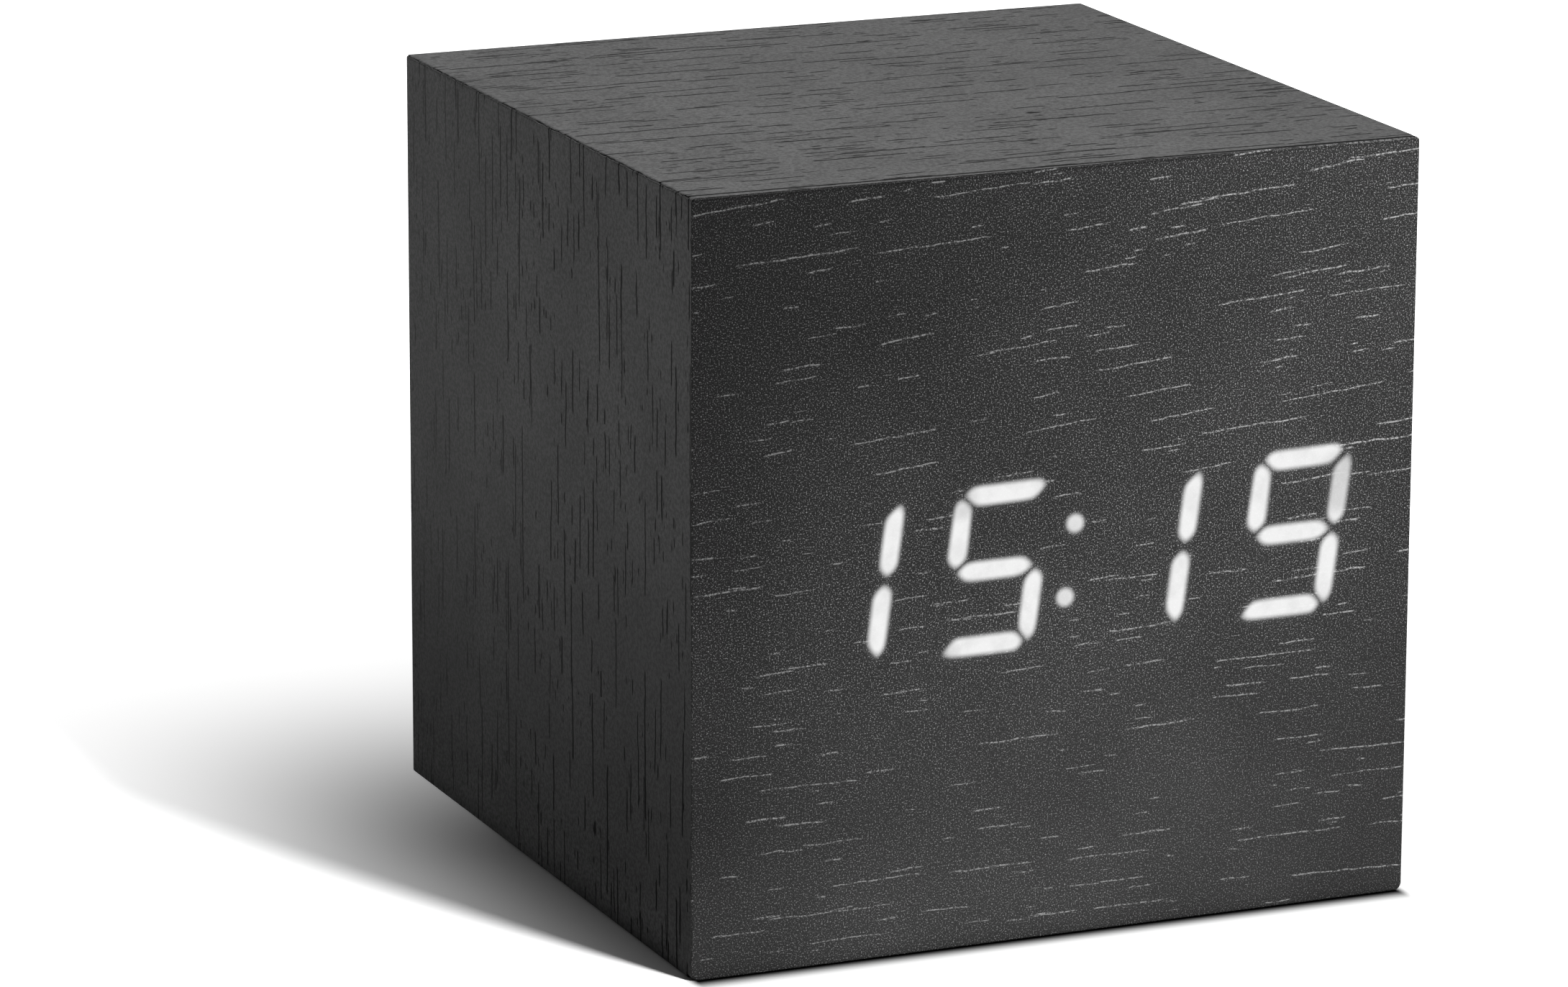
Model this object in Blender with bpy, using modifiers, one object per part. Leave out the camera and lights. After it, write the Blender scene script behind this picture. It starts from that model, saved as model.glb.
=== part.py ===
"""A small cube-shaped digital alarm clock: a mitred wood-grain box, a thin film-covered front that
white digits shine through, and a recessed black back with three buttons, a slide switch, a power
socket and a tray for three AAA cells under a tilting door.

Metres, +Z up. The origin is the middle of the face that the clock stands on, and the front looks
along -Y."""

import math

import bmesh
import bpy
from mathutils import Matrix, Vector

# Case
CASE_SIZE = 0.0680
BOARD_THICKNESS = 0.0045
CASE_EDGE_RADIUS = 0.00045
FRONT_THICKNESS = 0.0012
FRONT_CORNER_RADIUS = 0.0007
FRONT_EDGE_RADIUS = 0.0002
BACK_RECESS = 0.0030
CORNER_BLOCK_SIZE = 0.0062
CORNER_BLOCK_DEPTH = 0.0120

# Fits: the gap that two touching pieces keep, and how far a cutter passes the face that it cuts
GAP = 0.0003
OVERRUN = 0.0005

# Display, measured along and across its centre lines
DISPLAY_SHIFT_X = 0.0010
DISPLAY_HEIGHT = 0.0334
DIGIT_PITCH = 0.0143
DIGIT_WIDTH = 0.0080
DIGIT_HEIGHT = 0.0134
DIGIT_LEAN = math.radians(7.8)
SEGMENT_WIDTH = 0.0017
SEGMENT_BREAK = 0.0003
SEGMENT_TIP = 0.0007
COLON_SPACING = 0.0066
COLON_RADIUS = 0.0009
DIFFUSER_THICKNESS = 0.0005
LIGHT_BLOCK_DEPTH = 0.0080
LIGHT_BLOCK_MARGIN = 0.0050
DISPLAY_BOARD_THICKNESS = 0.0016
LED_LENGTH = 0.0016
LED_WIDTH = 0.0008
LED_HEIGHT = 0.0006
DISPLAY_SCREW_INSET = 0.0026

# Back panel
PANEL_THICKNESS = 0.0018
PANEL_CORNER_RADIUS = 0.0005
SOUND_HOLE_RADIUS = 0.0006
SOUND_HOLE_RING = 0.0023
VOICE_HOLE_RADIUS = 0.0008

# AAA cells, their contacts and the tray that holds them
CELL_RADIUS = 0.00525
CELL_LENGTH = 0.0445
CELL_EDGE_RADIUS = 0.0006
CELL_NUB_RADIUS = 0.0019
CELL_NUB_HEIGHT = 0.0010
CONTACT_THICKNESS = 0.0004
CONTACT_SIZE = 0.0084
CONTACT_TAB_WIDTH = 0.0024
CONTACT_TAB_REACH = 0.0020
SPRING_LENGTH = 0.0030
SPRING_WIRE_RADIUS = 0.00025
SPRING_BASE_RADIUS = 0.0036
SPRING_TIP_RADIUS = 0.0018
TRAY_WALL = 0.0014
TRAY_FLOOR = 0.0012
CELL_RIB_WIDTH = 0.0008
CELL_RIB_HEIGHT = 0.0026

# Battery door
DOOR_THICKNESS = 0.0016
DOOR_CORNER_RADIUS = 0.0006
DOOR_TAB_PLACE = 0.0130
DOOR_TAB_WIDTH = 0.0050
DOOR_TAB_THICKNESS = 0.0010
DOOR_TAB_REACH = 0.0012
DOOR_TAB_ROOT = 0.0010
DOOR_TAB_SWING = 0.0006
TONGUE_WIDTH = 0.0090
TONGUE_LENGTH = 0.0070
TONGUE_SLIT = 0.0008
TONGUE_NOSE_WIDTH = 0.0060
TONGUE_NOSE_REACH = 0.0009
TONGUE_RIDGE_RISE = 0.0004
TONGUE_RIDGE_WIDTH = 0.0006
TONGUE_RIDGE_PITCH = 0.0015
SCOOP_RADIUS = 0.0042
SCOOP_DEPTH = 0.0009

# Main board and what it carries
MAIN_BOARD_THICKNESS = 0.0016
MAIN_BOARD_STANDOFF = 0.0090
BOSS_RADIUS = 0.0018
BOSS_INSET = 0.0024
BUTTON_ROW_DROP = 0.0044
BUTTON_SIDE_INSET = 0.0050
BUTTON_PITCH = 0.0080
BUTTON_RADIUS = 0.0027
BUTTON_EDGE_RADIUS = 0.0004
BUTTON_FLANGE_RADIUS = 0.0035
BUTTON_FLANGE_THICKNESS = 0.0008
BUTTON_STEM_RADIUS = 0.0013
BUTTON_RISE = 0.0014
BUTTON_TRAVEL = 0.0005
TACT_SIZE = 0.0060
TACT_HEIGHT = 0.0035
PLUNGER_RADIUS = 0.0017
PLUNGER_SEAT = 0.0016
PLUNGER_RISE = 0.0008
SWITCH_ROW_RISE = 0.0041
SWITCH_PLACE_X = -0.0125
SWITCH_LENGTH = 0.0086
SWITCH_WIDTH = 0.0037
SWITCH_HEIGHT = 0.0036
SWITCH_WALL = 0.0006
SLIDER_LENGTH = 0.0030
SLIDER_WIDTH = 0.0018
SLIDER_HEIGHT = 0.0016
LEVER_LENGTH = 0.0014
LEVER_WIDTH = 0.0012
LEVER_RISE = 0.0012
SWITCH_TRAVEL = 0.0020
VOICE_SENSOR_X = -0.0025
VOICE_SENSOR_RADIUS = 0.0030
VOICE_SENSOR_HEIGHT = 0.0027
VOICE_LEG_SPACING = 0.0025
VOICE_LEG_SIZE = 0.0005
SOCKET_X = 0.0070
SOCKET_SIZE = 0.0070
SOCKET_NOSE_RADIUS = 0.0030
SOCKET_BORE_RADIUS = 0.0018
SOCKET_BORE_DEPTH = 0.0085
SOCKET_PIN_RADIUS = 0.00065
SOCKET_PIN_LENGTH = 0.0074
BUZZER_RADIUS = 0.0045
BUZZER_HEIGHT = 0.0055
BUZZER_EDGE_RADIUS = 0.0004
BUZZER_HOLE_RADIUS = 0.0010
BUZZER_SIDE_INSET = 0.0012
BUZZER_DROP = 0.0074
TOP_BOSS_CLEARANCE = 0.0032

# Small electronic parts
CHIP_PLACE_X = -0.0060
CHIP_LENGTH = 0.0103
CHIP_WIDTH = 0.0060
CHIP_HEIGHT = 0.0023
CHIP_LEG_REACH = 0.0012
CHIP_LEG_WIDTH = 0.0005
CHIP_LEG_THICKNESS = 0.0004
CHIP_LEG_PITCH = 0.00127
CHIP_LEG_COUNT = 7
HEADER_PLACE_X = 0.0100
HEADER_LENGTH = 0.0130
HEADER_WIDTH = 0.0032
HEADER_DEPTH = 0.0050
HEADER_WALL = 0.0007
HEADER_SOCKET_DEPTH = 0.0030
HEADER_RISE = 0.0050
RIBBON_WIDTH = 0.0110
RIBBON_THICKNESS = 0.0009
RIBBON_BOW = 0.0120
CRYSTAL_X = -0.0155
CRYSTAL_RISE = 0.0080
CRYSTAL_RADIUS = 0.0010
CRYSTAL_LENGTH = 0.0060
CAPACITOR_RADIUS = 0.0025
CAPACITOR_HEIGHT = 0.0070
CAPACITOR_X = 0.0160
CAPACITOR_DROP = 0.0040
LEAD_RADIUS = 0.0006
LEAD_BOW = 0.0080
LEAD_PAD_RISE = 0.0070

# Screws
SCREW_RADIUS = 0.0009
SCREW_HEAD_RADIUS = 0.0018
SCREW_HEAD_HEIGHT = 0.0011
SCREW_HEAD_ROUNDING = 0.0004
SCREW_TIP = 0.0008
SCREW_CROSS_LENGTH = 0.0020
SCREW_CROSS_WIDTH = 0.0005
SCREW_CROSS_DEPTH = 0.0006
BACK_SCREW_LENGTH = 0.0090
BACK_SCREW_SINK = 0.0007
SMALL_SCREW_LENGTH = 0.0050

# Counts
CELL_COUNT = 3
SPRING_TURNS = 3
SPRING_STEPS = 10
LEAD_STEPS = 22
RIBBON_STEPS = 18
ROUND_STEPS = 24
SMALL_STEPS = 12
ARC_STEPS = 3
RIM_STEPS = 2
RIDGE_COUNT = 3

# A bevel profile that gives a round arc, the distance within which a turned shape's points on
# its axis are merged, and the angle above which an edge stays sharp
ROUND_PROFILE = 0.5
MERGE_DISTANCE = 0.000001
SHARP_ANGLE = math.radians(35)

# Planes and places that follow from the sizes above
HALF = CASE_SIZE / 2
FRONT_Y = -HALF
BACK_Y = HALF
INNER_HALF = HALF - BOARD_THICKNESS
FLOOR_Z = BOARD_THICKNESS
CEILING_Z = CASE_SIZE - BOARD_THICKNESS
SHELL_FRONT_Y = FRONT_Y + FRONT_THICKNESS + GAP

DIFFUSER_BACK_Y = SHELL_FRONT_Y + DIFFUSER_THICKNESS
BLOCK_FRONT_Y = DIFFUSER_BACK_Y + GAP
BLOCK_BACK_Y = BLOCK_FRONT_Y + LIGHT_BLOCK_DEPTH
DISPLAY_BOARD_FRONT_Y = BLOCK_BACK_Y + GAP
DISPLAY_BOARD_BACK_Y = DISPLAY_BOARD_FRONT_Y + DISPLAY_BOARD_THICKNESS
BLOCK_HALF_WIDTH = INNER_HALF - GAP
BLOCK_HALF_HEIGHT = DIGIT_HEIGHT / 2 + SEGMENT_WIDTH / 2 + LIGHT_BLOCK_MARGIN

PANEL_OUT_Y = BACK_Y - BACK_RECESS
PANEL_IN_Y = PANEL_OUT_Y - PANEL_THICKNESS
PANEL_HALF_WIDTH = INNER_HALF - GAP
PANEL_LOW_Z = FLOOR_Z + GAP
PANEL_HIGH_Z = CEILING_Z - GAP
BLOCK_X = PANEL_HALF_WIDTH - CORNER_BLOCK_SIZE / 2
BLOCK_LOW_Z = PANEL_LOW_Z + CORNER_BLOCK_SIZE / 2
BLOCK_HIGH_Z = PANEL_HIGH_Z - CORNER_BLOCK_SIZE / 2

LEDGE_Y = PANEL_OUT_Y - DOOR_THICKNESS - GAP
CELL_Y = LEDGE_Y - CELL_RADIUS
TRAY_FLOOR_Y = CELL_Y - CELL_RADIUS - GAP
TRAY_BACK_Y = TRAY_FLOOR_Y - TRAY_FLOOR
CELL_PITCH = 2 * CELL_RADIUS + GAP
TRAY_INNER_HALF = (CELL_LENGTH + SPRING_LENGTH + 5 * GAP + 2 * CONTACT_THICKNESS + 2 * GAP) / 2
TRAY_HALF = TRAY_INNER_HALF + TRAY_WALL
TRAY_LOW_Z = PANEL_LOW_Z + CORNER_BLOCK_SIZE + GAP + TRAY_WALL
TRAY_HIGH_Z = TRAY_LOW_Z + CELL_COUNT * CELL_PITCH + GAP
CELL_FIRST_Z = TRAY_LOW_Z + GAP + CELL_RADIUS
CONTACT_X = TRAY_INNER_HALF - GAP - CONTACT_THICKNESS / 2
LEDGE_WIDTH = TRAY_WALL / 2
OPENING_HALF = TRAY_INNER_HALF + LEDGE_WIDTH
OPENING_LOW_Z = TRAY_LOW_Z - LEDGE_WIDTH
OPENING_HIGH_Z = TRAY_HIGH_Z + LEDGE_WIDTH
DOOR_TAB_OUT_Y = PANEL_IN_Y - GAP
DOOR_TAB_IN_Y = DOOR_TAB_OUT_Y - DOOR_TAB_THICKNESS

BOARD_OUT_Y = PANEL_IN_Y - MAIN_BOARD_STANDOFF
BOARD_IN_Y = BOARD_OUT_Y - MAIN_BOARD_THICKNESS
BOARD_HALF_WIDTH = PANEL_HALF_WIDTH - CORNER_BLOCK_SIZE - GAP
BOARD_LOW_Z = TRAY_HIGH_Z + TRAY_WALL + GAP
BOARD_HIGH_Z = PANEL_HIGH_Z - GAP
SEAT_OUT_Y = BOARD_OUT_Y + GAP
SEAT_IN_Y = BOARD_IN_Y - GAP
BUTTON_ROW_Z = BOARD_HIGH_Z - BUTTON_ROW_DROP
SWITCH_ROW_Z = BOARD_LOW_Z + SWITCH_ROW_RISE
BUTTON_NAMES = ("set", "up", "down")
BUTTON_XS = [BUTTON_SIDE_INSET + BUTTON_PITCH * i - BOARD_HALF_WIDTH for i in range(3)]
TOP_BOSS_X = BUTTON_XS[-1] + TACT_SIZE / 2 + TOP_BOSS_CLEARANCE
BUZZER_X = BOARD_HALF_WIDTH - BUZZER_SIDE_INSET - BUZZER_RADIUS
BUZZER_Z = BOARD_HIGH_Z - BUZZER_DROP
BOSS_PLACES = (
    (BOSS_INSET - BOARD_HALF_WIDTH, BOARD_LOW_Z + BOSS_INSET),
    (BOARD_HALF_WIDTH - BOSS_INSET, BOARD_LOW_Z + BOSS_INSET),
    (TOP_BOSS_X, BUTTON_ROW_Z),
)
BACK_SCREW_PLACES = (
    (-BLOCK_X, BLOCK_LOW_Z),
    (BLOCK_X, BLOCK_LOW_Z),
    (-BLOCK_X, BLOCK_HIGH_Z),
    (BLOCK_X, BLOCK_HIGH_Z),
)
SWITCH_Y = SEAT_OUT_Y + SWITCH_HEIGHT
TACT_Y = SEAT_OUT_Y + TACT_HEIGHT
HEADER_Z = BOARD_LOW_Z + HEADER_RISE

# Local +Z, the axis of a turned piece, is turned to look along one of these
TOWARDS_BACK = (-math.pi / 2, 0, 0)
TOWARDS_FRONT = (math.pi / 2, 0, 0)
TOWARDS_LEFT = (0, -math.pi / 2, 0)
TOWARDS_RIGHT = (0, math.pi / 2, 0)


# Making objects

for old in list(bpy.data.objects):
    bpy.data.objects.remove(old, do_unlink=True)

clock = bpy.data.collections.new("digital_alarm_clock")
cutters = bpy.data.collections.new("cutters")
bpy.context.scene.collection.children.link(clock)
bpy.context.scene.collection.children.link(cutters)


def material(name, colour, roughness, metallic=0):
    """A plain Principled material."""
    made = bpy.data.materials.new(name)
    made.use_nodes = True
    shader = made.node_tree.nodes["Principled BSDF"]
    shader.inputs["Base Color"].default_value = (*colour, 1)
    shader.inputs["Roughness"].default_value = roughness
    shader.inputs["Metallic"].default_value = metallic
    return made


def block(shape, low, high):
    """Adds a box between two corners, and returns its points."""
    low = Vector(low)
    high = Vector(high)
    place = Matrix.Translation((low + high) / 2) @ Matrix.Diagonal((*(high - low), 1))
    return bmesh.ops.create_cube(shape, size=1, matrix=place)["verts"]


def rod(shape, radius, start, end, steps=ROUND_STEPS):
    """Adds a cylinder between two points, and returns its points."""
    start = Vector(start)
    along = Vector(end) - start
    turn = along.to_track_quat("Z", "Y").to_matrix().to_4x4()
    place = Matrix.Translation(start + along / 2) @ turn
    made = bmesh.ops.create_cone(
        shape,
        cap_ends=True,
        segments=steps,
        radius1=radius,
        radius2=radius,
        depth=along.length,
        matrix=place,
    )
    return made["verts"]


def runs_along_y(edge):
    first, second = (point.co for point in edge.verts)
    return (first.x, first.z) == (second.x, second.z)


def round_edges(shape, points, radius, steps=ARC_STEPS):
    """Rounds those four edges of a box that run along Y."""
    edges = {edge for point in points for edge in point.link_edges if runs_along_y(edge)}
    bmesh.ops.bevel(
        shape,
        geom=list(edges),
        offset=radius,
        segments=steps,
        profile=ROUND_PROFILE,
        affect="EDGES",
    )


def add_object(name, data, finish, origin=(0, 0, 0), turn=(0, 0, 0), where=clock):
    """Puts mesh or curve data in the scene as an object with its material."""
    if finish:
        data.materials.append(finish)
    made = bpy.data.objects.new(name, data)
    made.location = origin
    made.rotation_euler = turn
    where.objects.link(made)
    return made


def mesh_of(name, shape, origin=(0, 0, 0)):
    """Ends a shape that was drawn in the clock's frame: its mesh is taken relative to origin."""
    mesh = bpy.data.meshes.new(name)
    bmesh.ops.translate(shape, verts=shape.verts, vec=-Vector(origin))
    shape.to_mesh(mesh)
    shape.free()
    return mesh


def piece(name, shape, finish, origin):
    """A piece drawn in the clock's frame, with its origin at its own place."""
    return add_object(name, mesh_of(name, shape, origin), finish, origin)


def combine(target, operation, shape):
    """Cuts a shape out of the target, or joins it on, with a Boolean modifier."""
    name = f"{target.name}_{operation.lower()}_{len(target.modifiers)}"
    tool = add_object(name, mesh_of(name, shape), None, where=cutters)
    tool.hide_render = True
    tool.display_type = "WIRE"
    modifier = target.modifiers.new(name, "BOOLEAN")
    modifier.operation = operation
    modifier.solver = "EXACT"
    modifier.object = tool


def turned(name, profile, finish, origin, turn, steps=ROUND_STEPS):
    """A turned piece: the profile, as (radius, height) from top to bottom, spun about local Z."""
    shape = bmesh.new()
    points = [shape.verts.new((radius, 0, height)) for radius, height in profile]
    for first, second in zip(points, points[1:]):
        shape.edges.new((first, second))
    made = add_object(name, mesh_of(name, shape), finish, origin, turn)
    screw = made.modifiers.new("turned", "SCREW")
    screw.axis = "Z"
    screw.angle = 2 * math.pi
    screw.steps = steps
    screw.render_steps = steps
    screw.use_merge_vertices = True
    screw.merge_threshold = MERGE_DISTANCE
    return made


def curve_data(name, points, dimensions):
    """A curve with one straight-edged spline through the points."""
    data = bpy.data.curves.new(name, "CURVE")
    data.dimensions = dimensions
    spline = data.splines.new("POLY")
    spline.points.add(len(points) - 1)
    for place, point in zip(spline.points, points):
        place.co = (*point, 1)
    return data


def wire(name, points, radius, finish, fineness, origin=(0, 0, 0), turn=(0, 0, 0)):
    """A round wire through the points, with filled ends."""
    data = curve_data(name, points, "3D")
    data.bevel_depth = radius
    data.bevel_resolution = fineness
    data.use_fill_caps = True
    return add_object(name, data, finish, origin, turn)


def plate(name, outline, thickness, finish, origin, turn):
    """A flat outline in local X and Y, extruded evenly to both sides."""
    data = curve_data(name, [(x, y, 0) for x, y in outline], "2D")
    data.splines[0].use_cyclic_u = True
    data.fill_mode = "BOTH"
    data.extrude = thickness / 2
    return add_object(name, data, finish, origin, turn)


def bow(start, end, reach, steps, side):
    """Points on a smooth curve that leaves start along Y, on the given side, and reaches end
    from the front."""
    start = Vector(start)
    end = Vector(end)
    leave = start + Vector((0, side * reach, 0))
    arrive = end - Vector((0, reach, 0))
    points = []
    for i in range(steps + 1):
        t = i / steps
        s = 1 - t
        near = start * s**3 + leave * 3 * s * s * t
        points.append(near + arrive * 3 * s * t * t + end * t**3)
    return points


# Finishes

wood_film = material("dark_wood_film", (0.035, 0.035, 0.036), 0.5)
front_film = material("front_film", (0.024, 0.024, 0.025), 0.45)
raw_wood = material("pale_wood", (0.42, 0.30, 0.19), 0.8)
black_plastic = material("black_plastic", (0.018, 0.018, 0.019), 0.5)
button_plastic = material("button_plastic", (0.03, 0.03, 0.032), 0.4)
white_plastic = material("white_plastic", (0.80, 0.80, 0.78), 0.5)
diffuser_film = material("diffuser_film", (0.86, 0.86, 0.84), 0.4)
board_green = material("board_green", (0.03, 0.16, 0.07), 0.4)
chip_black = material("chip_black", (0.02, 0.02, 0.022), 0.45)
tinned_metal = material("tinned_metal", (0.62, 0.62, 0.60), 0.3, 1)
steel = material("bright_steel", (0.58, 0.57, 0.55), 0.3, 1)
black_steel = material("black_steel", (0.05, 0.05, 0.052), 0.35, 1)
cell_sleeve = material("cell_sleeve", (0.20, 0.21, 0.23), 0.35)
cream_plastic = material("cream_plastic", (0.72, 0.68, 0.58), 0.5)
red_wire = material("red_wire", (0.55, 0.03, 0.03), 0.4)
black_wire = material("black_wire", (0.02, 0.02, 0.02), 0.4)
grey_ribbon = material("grey_ribbon", (0.45, 0.45, 0.46), 0.5)
blue_sleeve = material("blue_sleeve", (0.03, 0.06, 0.22), 0.35)


# Case boards: four mitred boards that fold into a square tube

MITRE_SHIFT = GAP / math.sqrt(2)


def board_outline():
    """Half-rounded outer corners, 45 degree mitres and a straight inner face."""
    last = math.acos(GAP / (2 * CASE_EDGE_RADIUS)) - math.pi / 4
    right = []
    for i in range(ARC_STEPS):
        angle = last * i / (ARC_STEPS - 1)
        across = HALF - CASE_EDGE_RADIUS + CASE_EDGE_RADIUS * math.sin(angle)
        up = CASE_EDGE_RADIUS - CASE_EDGE_RADIUS * math.cos(angle)
        right.append((across, up))
    right.append((HALF - BOARD_THICKNESS - MITRE_SHIFT, BOARD_THICKNESS))
    left = [(-across, up) for across, up in reversed(right)]
    return right + left


def case_board(name, quarter_turns):
    """One board, turned about the middle of the tube from where the bottom board lies."""
    depth = BACK_Y - SHELL_FRONT_Y
    board = plate(name, board_outline(), depth, wood_film, (0, 0, 0), (0, 0, 0))
    board.matrix_world = (
        Matrix.Translation((0, (SHELL_FRONT_Y + BACK_Y) / 2, HALF))
        @ Matrix.Rotation(math.pi / 2 * quarter_turns, 4, "Y")
        @ Matrix.Translation((0, 0, -HALF))
        @ Matrix.Rotation(math.pi / 2, 4, "X")
    )


for turns, name in enumerate(("case_bottom", "case_left", "case_top", "case_right")):
    case_board(name, turns)


# Front panel: a thin sheet with wood-grain film, over the whole front

def make_front_panel():
    shape = bmesh.new()
    back_y = FRONT_Y + FRONT_THICKNESS
    points = block(shape, (-HALF, FRONT_Y, 0), (HALF, back_y, CASE_SIZE))
    round_edges(shape, points, FRONT_CORNER_RADIUS)
    middle_y = (FRONT_Y + back_y) / 2
    rim = [edge for edge in shape.edges if all(point.co.y < middle_y for point in edge.verts)]
    bmesh.ops.bevel(
        shape,
        geom=rim,
        offset=FRONT_EDGE_RADIUS,
        segments=RIM_STEPS,
        profile=ROUND_PROFILE,
        affect="EDGES",
    )
    piece("front_panel", shape, front_film, (0, FRONT_Y, HALF))


make_front_panel()


# Corner blocks: wood strips glued into the corners of the tube, which take the back screws

def screw_hole(target, x, z, start_y, end_y):
    """A round hole along Y with room for a screw's shank."""
    shape = bmesh.new()
    rod(shape, SCREW_RADIUS + GAP, (x, start_y, z), (x, end_y, z), SMALL_STEPS)
    combine(target, "DIFFERENCE", shape)


def make_corner_blocks():
    names = ("left_low", "right_low", "left_high", "right_high")
    reach = CORNER_BLOCK_SIZE / 2
    rear = PANEL_IN_Y - GAP
    for name, (x, z) in zip(names, BACK_SCREW_PLACES):
        shape = bmesh.new()
        low = (x - reach, rear - CORNER_BLOCK_DEPTH, z - reach)
        high = (x + reach, rear, z + reach)
        block(shape, low, high)
        made = piece(f"corner_block_{name}", shape, raw_wood, (x, rear, z))
        hole_end = PANEL_OUT_Y - BACK_SCREW_SINK - BACK_SCREW_LENGTH - GAP
        screw_hole(made, x, z, hole_end, rear + OVERRUN)


make_corner_blocks()


# Display: the segments that the light block's wells, the LEDs and the lit digits share

DIGIT_CENTRES = [DISPLAY_SHIFT_X + DIGIT_PITCH * share for share in (-1.5, -0.5, 0.5, 1.5)]
# A segment's middle as shares of the digit's width and height, and whether it stands upright
SEGMENT_SHARES = {
    "a": (0, 0.5, False),
    "b": (0.5, 0.25, True),
    "c": (0.5, -0.25, True),
    "d": (0, -0.5, False),
    "e": (-0.5, -0.25, True),
    "f": (-0.5, 0.25, True),
    "g": (0, 0, False),
}


def segment_middles():
    """Each segment of each digit as (x, z, upright), before the digits lean."""
    for centre in DIGIT_CENTRES:
        for across, up, upright in SEGMENT_SHARES.values():
            yield centre + DIGIT_WIDTH * across, DISPLAY_HEIGHT + DIGIT_HEIGHT * up, upright


def lean_x(x, z):
    """Where a point goes when its digit leans to the right."""
    return x + (z - DISPLAY_HEIGHT) * math.tan(DIGIT_LEAN)


def segment_shape(shape, x, z, upright, front_y, back_y):
    """One segment as a leaning prism with pointed ends."""
    length = DIGIT_HEIGHT / 2 if upright else DIGIT_WIDTH
    long = length / 2 - SEGMENT_BREAK
    wide = SEGMENT_WIDTH / 2
    reach_x, reach_z = (wide, long) if upright else (long, wide)
    low = (x - reach_x, front_y, z - reach_z)
    high = (x + reach_x, back_y, z + reach_z)
    before = set(shape.verts)
    points = block(shape, low, high)
    round_edges(shape, points, SEGMENT_TIP, 1)
    for point in set(shape.verts) - before:
        point.co.x = lean_x(point.co.x, point.co.z)


def display_sheet(front_y, back_y):
    """A sheet as wide as the tube's inside and a little taller than the digits."""
    shape = bmesh.new()
    low = (-BLOCK_HALF_WIDTH, front_y, DISPLAY_HEIGHT - BLOCK_HALF_HEIGHT)
    high = (BLOCK_HALF_WIDTH, back_y, DISPLAY_HEIGHT + BLOCK_HALF_HEIGHT)
    block(shape, low, high)
    return shape


def display_screw_places():
    for side in (-1, 1):
        for level in (-1, 1):
            x = side * (BLOCK_HALF_WIDTH - DISPLAY_SCREW_INSET)
            z = DISPLAY_HEIGHT + level * (BLOCK_HALF_HEIGHT - DISPLAY_SCREW_INSET)
            yield x, z


def colon_places():
    for level in (-1, 1):
        z = DISPLAY_HEIGHT + level * COLON_SPACING / 2
        yield lean_x(DISPLAY_SHIFT_X, z), z


def make_diffuser():
    piece(
        "diffuser_sheet",
        display_sheet(SHELL_FRONT_Y, DIFFUSER_BACK_Y),
        diffuser_film,
        (0, SHELL_FRONT_Y, DISPLAY_HEIGHT),
    )


def make_light_block():
    shape = display_sheet(BLOCK_FRONT_Y, BLOCK_BACK_Y)
    made = piece("light_block", shape, white_plastic, (0, BLOCK_FRONT_Y, DISPLAY_HEIGHT))
    wells = bmesh.new()
    front_y = BLOCK_FRONT_Y - OVERRUN
    back_y = BLOCK_BACK_Y + OVERRUN
    for x, z, upright in segment_middles():
        segment_shape(wells, x, z, upright, front_y, back_y)
    for x, z in colon_places():
        rod(wells, COLON_RADIUS, (x, front_y, z), (x, back_y, z), SMALL_STEPS)
    combine(made, "DIFFERENCE", wells)
    hole_y = DISPLAY_BOARD_BACK_Y + GAP - SMALL_SCREW_LENGTH - GAP
    for x, z in display_screw_places():
        screw_hole(made, x, z, hole_y, back_y)


def make_display_board():
    """The circuit board, with its LEDs soldered on in front, one in each well."""
    shape = display_sheet(DISPLAY_BOARD_FRONT_Y, DISPLAY_BOARD_BACK_Y)
    middle = (0, DISPLAY_BOARD_BACK_Y, DISPLAY_HEIGHT)
    made = piece("display_board", shape, board_green, middle)
    leds = bmesh.new()
    places = [(lean_x(x, z), z, upright) for x, z, upright in segment_middles()]
    places += [(x, z, None) for x, z in colon_places()]
    for x, z, upright in places:
        long_x = LED_LENGTH / 2 if upright is False else LED_WIDTH / 2
        long_z = LED_LENGTH / 2 if upright else LED_WIDTH / 2
        top_y = DISPLAY_BOARD_FRONT_Y - LED_HEIGHT
        low = (x - long_x, top_y, z - long_z)
        high = (x + long_x, DISPLAY_BOARD_FRONT_Y + OVERRUN, z + long_z)
        block(leds, low, high)
    combine(made, "UNION", leds)
    for x, z in display_screw_places():
        screw_hole(made, x, z, DISPLAY_BOARD_FRONT_Y - OVERRUN, DISPLAY_BOARD_BACK_Y + OVERRUN)


make_diffuser()
make_light_block()
make_display_board()


# Screws: pan heads with a cross, all driven along Y

def make_screw(name, x, seat_y, z, length, finish, turn, steps):
    """A screw whose head rests on seat_y. Its shank runs against local +Z."""
    height = SCREW_HEAD_HEIGHT
    flat = SCREW_HEAD_RADIUS - SCREW_HEAD_ROUNDING
    profile = (
        (0, height),
        (flat, height),
        (SCREW_HEAD_RADIUS, height - SCREW_HEAD_ROUNDING),
        (SCREW_HEAD_RADIUS, 0),
        (SCREW_RADIUS, 0),
        (SCREW_RADIUS, SCREW_TIP - length),
        (0, -length),
    )
    made = turned(name, profile, finish, (x, seat_y, z), turn, steps)
    side = 1 if turn == TOWARDS_BACK else -1
    top_y = seat_y + side * (height + OVERRUN)
    low_y = seat_y + side * (height - SCREW_CROSS_DEPTH)
    long = SCREW_CROSS_LENGTH / 2
    wide = SCREW_CROSS_WIDTH / 2
    for reach_x, reach_z in ((long, wide), (wide, long)):
        cross = bmesh.new()
        near_y = min(low_y, top_y)
        far_y = max(low_y, top_y)
        block(cross, (x - reach_x, near_y, z - reach_z), (x + reach_x, far_y, z + reach_z))
        combine(made, "DIFFERENCE", cross)


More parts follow.
